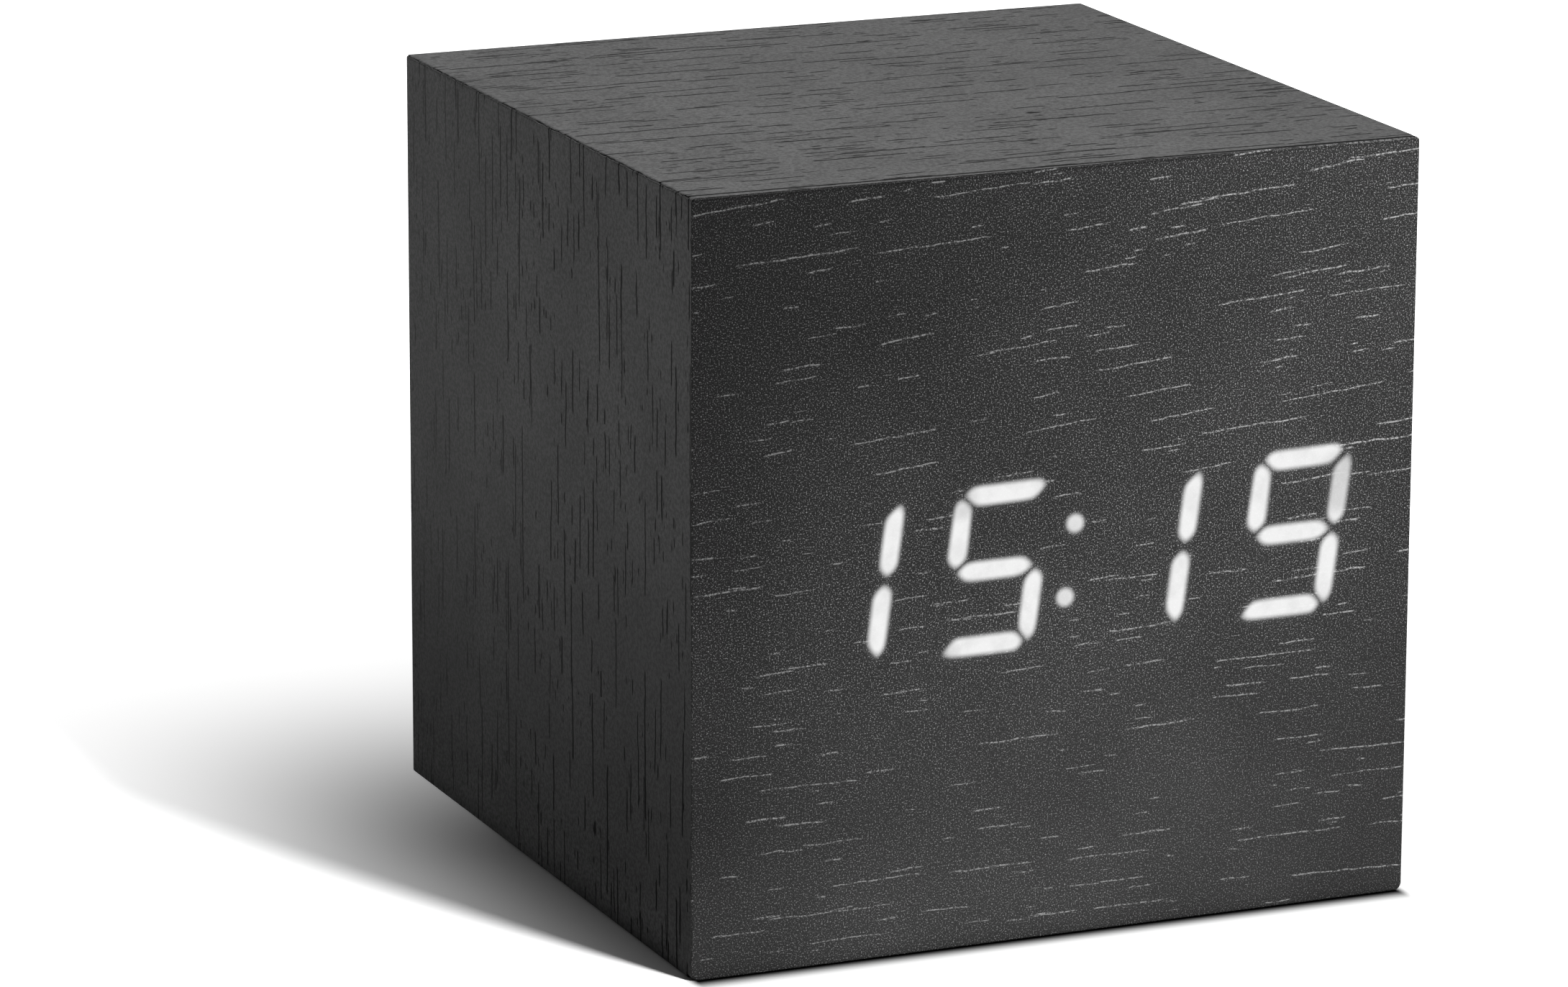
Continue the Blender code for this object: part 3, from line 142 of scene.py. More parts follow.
def ramp(value, low=0.3, high=0.7, start=0.0, end=1.0):
    """Goes smoothly from start to end while value goes from low to high, and is level outside. Most
    of a cloud pattern lies between the low and the high that it has by itself."""
    sockets = zip(("Value", "From Min", "From Max", "To Min", "To Max"), (value, low, high, start, end))
    return put(value.tree, "MapRange", sockets, interpolation_type="SMOOTHSTEP")


def apart(place):
    """The x, y and z of a place."""
    return put(place.tree, "SeparateXYZ", [(0, place)], (0, 1, 2))


class Finish:
    """A new material with its shader, and with a point's place on the piece in millimetres: here,
    and its x, y and z."""

    def __init__(self, name, roughness, specular=0.5, metallic=0.0):
        self.material = bpy.data.materials.new(name)
        self.material.use_nodes = True
        self.tree = self.material.node_tree
        self.shader = self.tree.nodes["Principled BSDF"].inputs
        self.shader["Roughness"].default_value = roughness
        self.shader["Specular IOR Level"].default_value = specular
        self.shader["Metallic"].default_value = metallic
        metres = put(self.tree, "TexCoord", output="Object")
        sockets = [(0, metres), ("Scale", 1000.0)]
        self.here = put(self.tree, "VectorMath", sockets, operation="SCALE")
        self.x, self.y, self.z = apart(self.here)

    def drive(self, socket, reading):
        """Lets a reading set one of the shader's sockets."""
        self.tree.links.new(reading.socket, self.shader[socket])

    def glow(self, strength):
        """Lets the surface give off white light, as strong as the reading."""
        self.shader["Emission Color"].default_value = (1, 1, 1, 1)
        self.drive("Emission Strength", strength)

    def emboss(self, height, depth):
        """Presses a pattern of heights from 0 to 1 into the surface, depth metres deep."""
        sockets = [("Height", height), ("Distance", depth), ("Strength", 1.0)]
        self.drive("Normal", put(self.tree, "Bump", sockets))


def seen_directly(tree):
    """1 for what the lens sees, straight or in gloss or glass, and 0 for light on its way round."""
    names = ("Is Camera Ray", "Is Glossy Ray", "Is Transmission Ray")
    return most(*put(tree, "LightPath", output=names))


def stand(name, data):
    """A new object in the scene."""
    made = bpy.data.objects.new(name, data)
    bpy.context.scene.collection.objects.link(made)
    return made


lens = stand("lens", bpy.data.cameras.new("lens"))
lens.data.lens = LENS_LENGTH
lens.data.sensor_width = FILM_WIDTH
lens.data.clip_start = LENS_NEAREST
level = LENS_LOOKS.cross(Vector((0, 0, 1))).normalized()
upright = level.cross(LENS_LOOKS)
across = level * math.cos(LENS_ROLL) + upright * math.sin(LENS_ROLL)
above = upright * math.cos(LENS_ROLL) - level * math.sin(LENS_ROLL)
aim = Matrix((across, above, -LENS_LOOKS)).transposed().to_4x4()
lens.matrix_world = Matrix.Translation(LENS_PLACE) @ aim
bpy.context.scene.camera = lens

key = stand("key_lamp", bpy.data.lights.new("key_lamp", "AREA"))
key.data.shape = "DISK"
key.data.size = KEY_SIZE
key.data.energy = KEY_POWER
towards_key = Vector((
    math.sin(KEY_BEARING) * math.cos(KEY_HEIGHT),
    -math.cos(KEY_BEARING) * math.cos(KEY_HEIGHT),
    math.sin(KEY_HEIGHT),
))
key.location = towards_key * KEY_DISTANCE
key.rotation_euler = towards_key.to_track_quat("Z", "Y").to_euler()

room = bpy.data.worlds.new("room")
room.use_nodes = True
bpy.context.scene.world = room
sky = room.node_tree.nodes["Background"]
sky.inputs["Color"].default_value = (1, 1, 1, 1)
room_light = ramp(seen_directly(room.node_tree), 0.0, 1.0, ROOM_LIGHT, 1.0)
room.node_tree.links.new(room_light.socket, sky.inputs["Strength"])

sheet_mesh = bpy.data.meshes.new("white_sheet")
corners = [(x * SHEET_HALF, y * SHEET_HALF, 0) for x, y in ((-1, -1), (1, -1), (1, 1), (-1, 1))]
sheet_mesh.from_pydata(corners, [], [(0, 1, 2, 3)])
white_sheet = stand("white_sheet", sheet_mesh)
paper = Finish("white_paper", 0.9, specular=0.0)
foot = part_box("front_panel")[0] * 1000
# A painted contact shadow: the sheet's colour and glow are darkened in a thin strip round the front's foot.
aside = most(abs(paper.x) + (foot.x + CONTACT_INSET_MM), 0.0) * CONTACT_ASIDE
ahead = most(foot.y - paper.y, 0.0)
from_foot = sums("SQRT", aside * aside + ahead * ahead)
painted_contact_shadow = ramp(from_foot, *CONTACT_MM, 1.0, 0.0) * ramp(paper.y, *CONTACT_ENDS_MM, 1.0, 0.0)
outside_contact_shadow = 1.0 - painted_contact_shadow
paper.drive("Base Color", outside_contact_shadow * SHEET_GREY)
# The glow is held back over the zone behind and left of the clock and comes back in as painted light further
# out, so the lamp's shadow pales to white.
shadow_zone = ramp(paper.x, *FADE_ACROSS_MM) * ramp(paper.y, *FADE_BACK_MM, 1.0, 0.0)
paper.glow((1.0 - shadow_zone) * outside_contact_shadow * seen_directly(paper.tree))
sheet_mesh.materials.append(paper.material)

bpy.context.scene.view_settings.view_transform = "Standard"


# The box: four boards of fibreboard, mitred and glued into a square tube, wrapped outside and over
# both rims in matte film that is printed and pressed with a wood grain. The grain runs round the
# tube like a belt. The wrapped edges are rounded and slightly worn along the mitres.

BOX_MIDDLE_Z = (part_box("case_top")[1].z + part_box("case_bottom")[0].z) / 2
BOX_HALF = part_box("case_right")[1].x
BOX_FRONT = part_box("front_panel")[1].y + 0.00001
BOX_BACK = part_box("case_top")[1].y
BOARD_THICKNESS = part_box("case_top")[1].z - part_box("case_top")[0].z
EDGE_RADIUS = 0.00032
RIM_RADIUS = 0.00022
MITRE_GAP = 0.000012
MITRE_GROOVE = 0.00001
MITRE_SPREAD = 1.15
BESIDE_TIP = 0.35
GROOVE_WEAR = 0.00014
EDGE_SUPPORT = 0.00018
ARC_STEPS = 5
RIM_STEPS = 4
FLAT_POINTS = 9
BOARD_RINGS = 330
NICKS = 70
NICK_WIDTHS = (0.00012, 0.0005)
WEAR_SEED = 7
FILM_GREY = 0.106
PORE_GREY = 0.010
FILM_ROUGHNESS = 0.52
BOARD_DARK = (0.19, 0.115, 0.06)
BOARD_PALE = (0.3, 0.2, 0.115)
FRONT_TO_BACK_MM = (-34.0, 34.0)
# Painted shade and painted light in the film's grey: darker towards the foot of the upright boards, a
# painted bounce at the foot, and a darker right end on the top.
NEAR_PAINTED_SHADE = (10.0, 52.0, 0.355, 0.84)
FAR_PAINTED_SHADE = (16.0, 44.0, 0.78, 0.94)
FAR_FOOT_PAINTED_LIGHT = (4.0, 14.0, 0.45, 0.0)
RIGHT_PAINTED_SHADE = (6.0, 34.0, 1.0, 0.93)
PAINTED_BOUNCE = (0.0, 6.0, 1.2, 0.0)
PAINTED_BOUNCE_BEHIND = (-34.0, -18.0, 0.1, 1.0)
PORES_FADE = (-10.0, 34.0, 1.0, 0.55)
SEAM_FROM_BACK_MM = 0.5
SEAM_SLOPE = 0.0118
SEAM_OPENS = (0.0, 30.0, 1.0, 0.6)
SEAM_EDGE = (0.12, 0.28, 0.06, 1.0)
BARE_SLACK_MM = 0.05
BARE_TO_PANEL_MM = 1.0
BARE_UNDER_FILM_MM = 0.5
SHARP = math.radians(32)


def smooth(data, sharp):
    """Shades a mesh smooth, but for the edges that are sharper than the angle."""
    data.polygons.foreach_set("use_smooth", np.ones(len(data.polygons), bool))
    data.set_sharp_from_angle(angle=sharp)


def new_piece(name, points, faces, material, sharp=SHARP):
    """A mesh from an array of points and lists of corner numbers: points in one place are merged,
    faces turned outwards, and edges sharper than the angle kept sharp."""
    data = bpy.data.meshes.new(name)
    data.from_pydata(np.asarray(points).tolist(), [], faces)
    shape = bmesh.new()
    shape.from_mesh(data)
    bmesh.ops.remove_doubles(shape, verts=shape.verts, dist=1e-7)
    bmesh.ops.recalc_face_normals(shape, faces=shape.faces)
    shape.to_mesh(data)
    shape.free()
    smooth(data, sharp)
    data.materials.append(material)
    return stand(name, data)


def ring_faces(rings, count, closed=True):
    """Quads between neighbouring rings of count points each, round the loop if it is closed."""
    row = np.arange(rings - 1)[:, None] * count
    step = np.arange(count if closed else count - 1)[None, :]
    after = (step + 1) % count
    quads = np.stack([row + step, row + after, row + count + after, row + count + step], -1)
    return quads.reshape(-1, 4).tolist()


def tube(name, points, material, sharp=SHARP):
    """A closed body from an array of points by ring, by place in the ring and by x, y and z. Quads
    join neighbouring rings, and one face closes the first ring and one the last."""
    rings, count = points.shape[:2]
    ends = np.arange(rings * count).reshape(rings, count)[[0, -1]].tolist()
    return new_piece(name, points.reshape(-1, 3), ring_faces(rings, count) + ends, material, sharp)


def fit(piece, body, node):
    """Lets a piece ride on a body in place of a piece of the frame, which is hidden."""
    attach(piece, body)
    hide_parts(node)


def worn_groove(y, seed):
    """How deep the mitre line is cut along y: a base depth, and a few random chips, each a narrow
    bell curve added to it."""
    random = np.random.default_rng(seed)
    middles = random.uniform(BOX_FRONT, BOX_BACK, NICKS)
    depths = GROOVE_WEAR * random.uniform(0, 1, NICKS) ** 2
    widths = random.uniform(*NICK_WIDTHS, NICKS)
    bells = depths * np.exp(-((y[:, None] - middles) / widths) ** 2)
    return MITRE_GROOVE + bells.sum(1)


def case_board(name, quarter_turns, seed, material):
    """One board. Its section, in s across and t outwards from the middle of the box, is half a
    rounded corner, the flat outer face, another half corner, the mitre, the inner face and the
    mitre back. It is carried along y, drawn in at the back rim along a quarter circle, and its mitre
    tips sink by the worn groove. The whole is then turned about the middle of the box."""
    flat = BOX_HALF - EDGE_RADIUS
    inner = BOX_HALF - BOARD_THICKNESS
    diagonal = math.sqrt(0.5)
    arc = np.linspace(math.radians(45), math.radians(90), ARC_STEPS)
    push = np.stack([np.cos(arc), np.sin(arc)], 1)
    corner = flat + EDGE_RADIUS * push
    left, left_push = corner[::-1] * (-1, 1), push[::-1] * (-1, 1)
    spans = np.linspace(-1, 1, FLAT_POINTS)[:, None] * (flat - EDGE_SUPPORT)
    outer = np.hstack([-spans, np.full_like(spans, BOX_HALF)])
    section = np.vstack([corner, outer, left, [(-inner, inner), (inner, inner)]])
    inner_push = [(diagonal, -diagonal), (-diagonal, -diagonal)]
    away = np.vstack([push, np.tile((0, 1), (len(outer), 1)), left_push, inner_push])
    tips = np.zeros(len(section))
    tips[[0, -3]] = 1
    tips[[1, -4]] = BESIDE_TIP

    turn = np.linspace(0, math.pi / 2, RIM_STEPS)
    rim_in = RIM_RADIUS * (1 - np.sin(turn))
    rim_on = RIM_RADIUS * (1 - np.cos(turn))
    middle = np.linspace(BOX_FRONT, BOX_BACK - RIM_RADIUS - EDGE_SUPPORT, BOARD_RINGS)
    y = np.concatenate([middle, (BOX_BACK - rim_on)[::-1]])[:, None]
    drawn = np.concatenate([np.zeros(BOARD_RINGS), rim_in[::-1]])[:, None]
    side = np.sign(section[:, 0])
    lean = side * (tips + (away[:, 1] < 0)) * MITRE_GAP
    sunk = worn_groove(y[:, 0], seed)[:, None] * tips * diagonal
    s = section[:, 0] - drawn * away[:, 0] - lean - side * sunk * MITRE_SPREAD
    t = section[:, 1] - drawn * away[:, 1] - sunk
    for _ in range(quarter_turns):
        s, t = -t, s
    points = np.stack([s, np.broadcast_to(y, s.shape), t + BOX_MIDDLE_Z], -1)
    return tube(name, points, material)


def noise(where, per_mm, detail=2.0, roughness=0.5):
    """Even clouds with so many lumps to the millimetre, about 0.5 in the middle."""
    sockets = [("Vector", where), ("Scale", per_mm), ("Detail", detail), ("Roughness", roughness)]
    return put(where.tree, "TexNoise", sockets)


def place(*values):
    """A place from readings of its x, y and z. Those left out are 0."""
    return put(values[0].tree, "CombineXYZ", enumerate(values))


def places(operation, *values, output=0):
    """One step of arithmetic on places."""
    return put(values[0].tree, "VectorMath", enumerate(values), output, operation=operation)


def cells(where, per_unit, *names):
    """Random cells round scattered points of a plane. names lists what is read of them."""
    sockets = [("Vector", where), ("Scale", per_unit)]
    return put(where.tree, "TexVoronoi", sockets, names, voronoi_dimensions="2D")


def chances(colour):
    """A random colour as three random numbers from 0 to 1."""
    return put(colour.tree, "SeparateColor", [(0, colour)], (0, 1, 2))


def grain_lines(along, across, cell, length, width, share, slope=0.0, spread=0.03, seed=0.0):
    """Pores of a wood grain, 1 on a line and 0 off it. The face is cut into long random cells. Each
    cell has one line through its middle, and the cell's own random numbers give the line's slope,
    half length and width, and whether it is there. cell, length and width are pairs in mm."""
    u = along * (1 / cell[0]) + seed
    v = across * (1 / cell[1]) + seed
    where = place(u, v)
    colour, middle = cells(where, 1.0, "Color", "Position")
    off_u, off_v, _ = apart(places("SUBTRACT", where, middle))
    run, rise = off_u * cell[0], off_v * cell[1]
    first, second, third = chances(colour)
    own_slope = first * (2 * spread) - spread + slope
    wave = noise(place(along * 0.45, v), 1.0, 1.0) * 0.36 - 0.18
    side = rise - run * own_slope - wave
    half = second * second * (length[1] - length[0]) + length[0]
    body = ramp(half - abs(run), 0.0, 0.5)
    half_width = third * ((width[1] - width[0]) / 2) + width[0] / 2
    line = ramp(half_width - abs(side), -0.05, 0.03)
    there = sums("FRACT", third * 17.3 + second * 5.7) < share
    return body * line * there


def between(share, first, second):
    """Goes from the first number to the second as share goes from 0 to 1."""
    return put(share.tree, "Mix", [("Factor", share), (2, first), (3, second)])


def mix(share, first, second):
    """Goes from the first colour to the second as share goes from 0 to 1."""
    colours = [colour if isinstance(colour, Reading) else (*colour, 1) for colour in (first, second)]
    return put(share.tree, "Mix", [("Factor", share), *enumerate(colours, 6)], 2, data_type="RGBA")


def true_normal(tree):
    """The x, y and z of the way a face points, without their signs."""
    return apart(places("ABSOLUTE", put(tree, "NewGeometry", output="True Normal")))


def grain_film(name, upright_grain):
    """Matte near-black film over fibreboard, with dark pores sunk in along the grain. Inside the
    box, in front of the back panel, and on the mitres the bare brown board shows. The film's grey
    carries painted shade and painted light by where the light falls: the upright boards darker
    towards the foot, with a painted bounce right at the foot towards the back, and the top darker
    towards its right end. A dark seam runs along the top behind the front's edge."""
    film = Finish(name, FILM_ROUGHNESS, specular=0.006)
    here, x, y, z = film.here, film.x, film.y, film.z
    along = z if upright_grain else x
    reach = most(abs(x), abs(z - 1000 * BOX_MIDDLE_Z))
    wrapped = y + reach - 1000 * BOX_HALF
    clumps = ramp(noise(here, 0.11, 1.0), 0.4, 0.6)
    few, fewer = clumps * 0.42 + 0.14, clumps * 0.3 + 0.04
    pores = most(
        grain_lines(along, wrapped, (13.0, 1.7), (1.8, 6.4), (0.14, 0.26), 0.72, seed=3.7),
        grain_lines(along, wrapped, (6.5, 1.0), (0.6, 2.9), (0.12, 0.24), few, seed=11.3),
        grain_lines(along, wrapped, (2.6, 0.6), (0.2, 0.9), (0.1, 0.18), fewer, spread=0.1, seed=23.1),
    )
    if upright_grain:
        pores = pores * ramp(y, *PORES_FADE)
    fine = noise(here, 2.8, 3.0, 0.7)
    print_tone = ramp(noise(here, 0.09, 3.0), start=0.93, end=1.07) * ramp(fine, 0.38, 0.62, 0.76, 1.24)
    grey = print_tone * (pores * (PORE_GREY - FILM_GREY) + FILM_GREY)
    # Painted shade towards the foot of the upright boards, and painted bounce light right at the foot
    # towards the back.
    if upright_grain:
        far = ramp(z, *FAR_PAINTED_SHADE) + ramp(z, *FAR_FOOT_PAINTED_LIGHT)
        shade = between(ramp(y, *FRONT_TO_BACK_MM), ramp(z, *NEAR_PAINTED_SHADE), far)
        bounce = ramp(z, *PAINTED_BOUNCE) * ramp(y, *PAINTED_BOUNCE_BEHIND)
        grey = grey * (shade * (bounce + 1.0))
    else:
        seam_place = x * -SEAM_SLOPE + (1000 * BOX_FRONT - SEAM_FROM_BACK_MM)
        seam = abs(y - seam_place) * ramp(x, *SEAM_OPENS)
        # The seam is the film's dark joint; the top's right end gets a little painted shade.
        grey = grey * ramp(seam, *SEAM_EDGE) * ramp(x, *RIGHT_PAINTED_SHADE)
    before_panel = y < 1000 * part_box("back_panel")[1].y - BARE_TO_PANEL_MM
    inside = (reach < 1000 * (BOX_HALF - BOARD_THICKNESS) + BARE_SLACK_MM) * before_panel
    facing_x, _, facing_z = true_normal(film.tree)
    mitred = sums("MINIMUM", facing_x, facing_z) > 0.5
    bare = most(inside, mitred * (reach < 1000 * BOX_HALF - BARE_UNDER_FILM_MM))
    board = mix(ramp(noise(here, 1.6, 5.0, 0.7)), BOARD_DARK, BOARD_PALE)
    film.drive("Base Color", mix(bare, grey, board))
    film.drive("Roughness", ramp(fine, 0.25, 0.75, FILM_ROUGHNESS - 0.05, FILM_ROUGHNESS + 0.06))
    film.emboss(fine * 0.12 - pores, 0.00009)
    return film.material


lying_film = grain_film("grain_film_lying", upright_grain=False)
standing_film = grain_film("grain_film_standing", upright_grain=True)
for turns, side in enumerate(("top", "left", "bottom", "right")):
    film = (lying_film, standing_film)[turns % 2]
    board = case_board(f"board_{side}", turns, WEAR_SEED + turns, film)
    fit(board, "case", f"case_{side}")


# The front: a thin sheet under a smoke-black film with a pebbled skin. The film lets light through,
# so the wells of the light block behind it show as white bars with soft edges. Its tone is painted
# paler and darker by where the light falls, and its pebbles carry painted glints. Its grain lines are
# a pale pattern brightened by painted highlights, and its top edge has a painted highlight.

FRONT_LOW, FRONT_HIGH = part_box("front_panel")
FRONT_TOP_MM = 1000 * FRONT_HIGH.z
FRONT_CORNER = 0.0007
FRONT_EDGE = 0.00015
BACK_EDGE = 0.00001
FRONT_ARC = 7
EDGE_ARC = 5
FINE_STEP = 0.00026
COARSE_STEP = 0.0022
LIT_LEFT, LIT_RIGHT = -0.0262, 0.0288
LIT_LOW, LIT_HIGH = 0.0250, 0.0424
# SKIN_GREY is the film's own grey. The glint, light, line and rim numbers below set painted glints, painted
# light and shade across the front, and painted highlights on the lines and the top edge.
SKIN_GREY = 0.0105
PAINTED_GLINT_GREY = 0.155
PAINTED_GLINT_MEAN = 0.085
LINE_GREY = 0.20
LINE_SLOPE = (16.0, 58.0, 0.01, 0.085)
LONG_SHARE_ACROSS = (-30.0, 26.0, 0.45, 0.8)
LONG_SHARE_BELOW = (20.0, 34.0, 0.8, 0.4)
PAINTED_LIGHT_HEIGHTS_MM = (18.0, 62.0)
LOW_PAINTED_LIGHT_LEFT = (-36.0, -9.0, 0.8, 1.55)
LOW_PAINTED_LIGHT_RIGHT = (10.0, 34.0, 0.0, 0.3)
HIGH_PAINTED_LIGHT = (-38.0, 34.0, 0.46, 1.75)
MIDDLE_PAINTED_LIGHT_FOOT = (16.0, 32.0, 0.0, 0.14)
MIDDLE_PAINTED_LIGHT_TOP = (40.0, 60.0, 0.0, 0.14)
FOOT_PAINTED_LIGHT = (3.0, 15.0, 0.36, 0.0)
FOOT_PAINTED_LIGHT_LEFT = (-14.0, 10.0, 1.0, 0.0)
CALM_BELOW = (8.0, 36.0, 0.4, 0.0)
CALM_ACROSS = (-24.0, 26.0, 0.75, 1.0)
PAINTED_LINE_LIGHT_HEIGHTS_MM = (14.0, 44.0)
LOW_PAINTED_LINE_LIGHT = (-36.0, 32.0, 0.62, 0.85)
HIGH_PAINTED_LINE_LIGHT = (-36.0, 32.0, 0.42, 1.2)
RIM_PAINTED_SHADE = (-0.42, -0.16, 1.0, 0.55)
RIM_PAINTED_LIT_MM = (-0.22, -0.08)
RIM_PAINTED_LIT_ACROSS_MM = (12.0, 32.0)
RIM_PAINTED_LIGHT = 0.5
LINES_STOP_MM = 0.1
BAR_EDGE_MM = (-0.29, 0.34)
HALO = (-0.9, 0.1, 0.0, 0.02)
LAMP_WHITE = 0.86
DIGIT_LEAN = math.radians(7.8)
DIGIT_MIDDLES_MM = ((-20.13, 33.42, "1"), (-6.02, 33.46, "5"), (8.03, 33.60, "1"), (22.42, 33.84, "9"))
COLON_DOTS_MM = ((1.54, 36.76), (0.67, 30.29))
COLON_RADIUS_MM = 0.81
WEAK_SPOTS_MM = (
    (27.2, 37.9, 3.6, 0.26),
    (-9.4, 40.0, 2.4, 0.16),
    (-10.6, 26.2, 1.9, 0.14),
    (*COLON_DOTS_MM[0], 2.2, 0.16),
    (*COLON_DOTS_MM[1], 2.2, 0.16),
)
SEGMENTS_OF = {"1": "bc", "5": "afgcd", "9": "abcdfg"}
SEGMENT_CORNERS_MM = {
    "a": ((-3.75, 6.75), (-3.2, 7.42), (3.35, 7.58), (3.85, 7.05), (2.88, 5.87), (-2.65, 5.72)),
    "b": ((4.4, 6.6), (4.83, 6.1), (4.83, 1.09), (4.0, 0.36), (3.18, 1.1), (3.16, 5.5)),
    "c": ((3.86, -0.26), (4.67, -0.9), (4.67, -6.0), (4.08, -6.62), (3.02, -5.5), (2.96, -1.1)),
    "d": ((-3.88, -7.05), (-2.95, -5.78), (2.8, -5.7), (3.68, -6.6), (3.18, -7.38), (-3.38, -7.42)),
    "f": ((-4.03, 6.48), (-2.95, 5.72), (-2.82, 1.12), (-3.73, 0.35), (-4.6, 1.07), (-4.56, 6.08)),
    "g": ((-3.55, -0.03), (-2.77, 0.82), (2.73, 0.87), (3.6, 0.02), (2.65, -0.78), (-2.65, -0.85)),
}
LAYER_OF = {"a": 0, "d": 0, "g": 0, "b": 1, "f": 1, "c": 2}
FAR_OUTSIDE_MM = 4.0
CORNER_SOFTNESS_MM = 0.19


def inside_distance(u, v, corners):
    """How far points lie inside a convex bar with rounded corners, in mm: minus the soft maximum,
    a logarithm of summed exponentials, of the distances outside each of its sides."""
    corners = np.array(corners)
    side = np.roll(corners, -1, 0) - corners
    outward = np.stack([side[:, 1], -side[:, 0]], 1) / np.linalg.norm(side, axis=1)[:, None]
    outward *= np.sign((outward * (corners - corners.mean(0))).sum(1))[:, None]
    away = (u[..., None] - corners[:, 0]) * outward[:, 0] + (v[..., None] - corners[:, 1]) * outward[:, 1]
    away = np.clip(away, -FAR_OUTSIDE_MM, FAR_OUTSIDE_MM)
    return -CORNER_SOFTNESS_MM * np.log(np.exp(away / CORNER_SOFTNESS_MM).sum(-1))


def lamp_distances(x, z):
    """For points of the front, in mm, how far they lie inside the lit bars: in one layer the level
    bars, in one the upper upright bars and the colon, and in one the lower upright bars."""
    found = np.full((3, len(x)), -FAR_OUTSIDE_MM)
    for middle_x, middle_z, digit in DIGIT_MIDDLES_MM:
        v = z - middle_z
        u = x - middle_x - math.tan(DIGIT_LEAN) * v
        for name in SEGMENTS_OF[digit]:
            layer = LAYER_OF[name]
            found[layer] = np.maximum(found[layer], inside_distance(u, v, SEGMENT_CORNERS_MM[name]))
    for dot_x, dot_z in COLON_DOTS_MM:
        found[1] = np.maximum(found[1], COLON_RADIUS_MM - np.hypot(x - dot_x, z - dot_z))
    return found


def lines_between(low, fine_low, fine_high, high):
    """Places of grid lines from low to high, close together only between the fine places."""
    before = np.arange(fine_low, low + COARSE_STEP / 2, -COARSE_STEP)[::-1]
    fine = np.linspace(fine_low, fine_high, round((fine_high - fine_low) / FINE_STEP) + 1)
    after = np.arange(fine_high, high - COARSE_STEP / 2, COARSE_STEP)
    return np.concatenate([[low], before[:-1], fine, after[1:], [high]])


def front_outline(xs, zs, radius, low, high):
    """The rounded rectangle that grows by radius from the grid's own edge. It has one point for
    each point of that edge, and an arc of more points at each corner. The upper corners are
    squarer, because the cosine and sine of their arcs give way to their roots."""
    turn = np.linspace(0, math.pi / 2, FRONT_ARC)[1:-1]
    down = np.stack([xs, np.full(len(xs), low[1] - radius)], 1)
    right = np.stack([np.full(len(zs), high[0] + radius), zs], 1)
    up = np.stack([xs[::-1], np.full(len(xs), high[1] + radius)], 1)
    left = np.stack([np.full(len(zs), low[0] - radius), zs[::-1]], 1)
    corners = ((high[0], low[1]), high, (low[0], high[1]), low)
    loop = []
    for quarter, straight, corner in zip((-1, 0, 1, 2), (down, right, up, left), corners):
        angle = quarter * math.pi / 2 + turn
        bend = np.stack([np.cos(angle), np.sin(angle)], 1)
        if corner[1] == high[1]:
            bend = np.sign(bend) * np.sqrt(np.abs(bend))
        loop += [straight, corner + radius * bend]
    return np.vstack(loop)


def front_sheet(material):
    """The sheet: a flat grid over its face, fine round the digits, then outlines that step out to
    the rounded corners and over the quarter circle of the front edge to the back."""
    low = (FRONT_LOW.x + FRONT_CORNER, FRONT_LOW.z + FRONT_CORNER)
    high = (FRONT_HIGH.x - FRONT_CORNER, FRONT_HIGH.z - FRONT_CORNER)
    xs = lines_between(low[0], LIT_LEFT, LIT_RIGHT, high[0])
    zs = lines_between(low[1], LIT_LOW, LIT_HIGH, high[1])
    grid_x, grid_z = np.meshgrid(xs, zs)
    face = np.stack([grid_x, np.full(grid_x.shape, FRONT_LOW.y), grid_z], -1).reshape(-1, 3)
    depth = FRONT_HIGH.y - FRONT_LOW.y
    steps = [(0.0, 0.0), (FRONT_CORNER - FRONT_EDGE * 2, 0.0)]
    for turn in np.linspace(0, math.pi / 2, EDGE_ARC):
        steps.append((FRONT_CORNER - FRONT_EDGE * (1 - math.sin(turn)), FRONT_EDGE * (1 - math.cos(turn))))
    steps += [(FRONT_CORNER, depth - BACK_EDGE), (FRONT_CORNER - BACK_EDGE, depth)]
    rings = []
    for radius, back in steps:
        loop = front_outline(xs, zs, radius, low, high)
        rings.append(np.column_stack([loop[:, 0], np.full(len(loop), FRONT_LOW.y + back), loop[:, 1]]))
    count, start = len(rings[0]), len(face)
    faces = ring_faces(len(zs), len(xs), closed=False)
    faces += (np.array(ring_faces(len(rings), count)) + start).tolist()
    faces.append([start + (len(rings) - 1) * count + i for i in range(count)])
    return new_piece("front_sheet", np.vstack([face] + rings), faces, material)


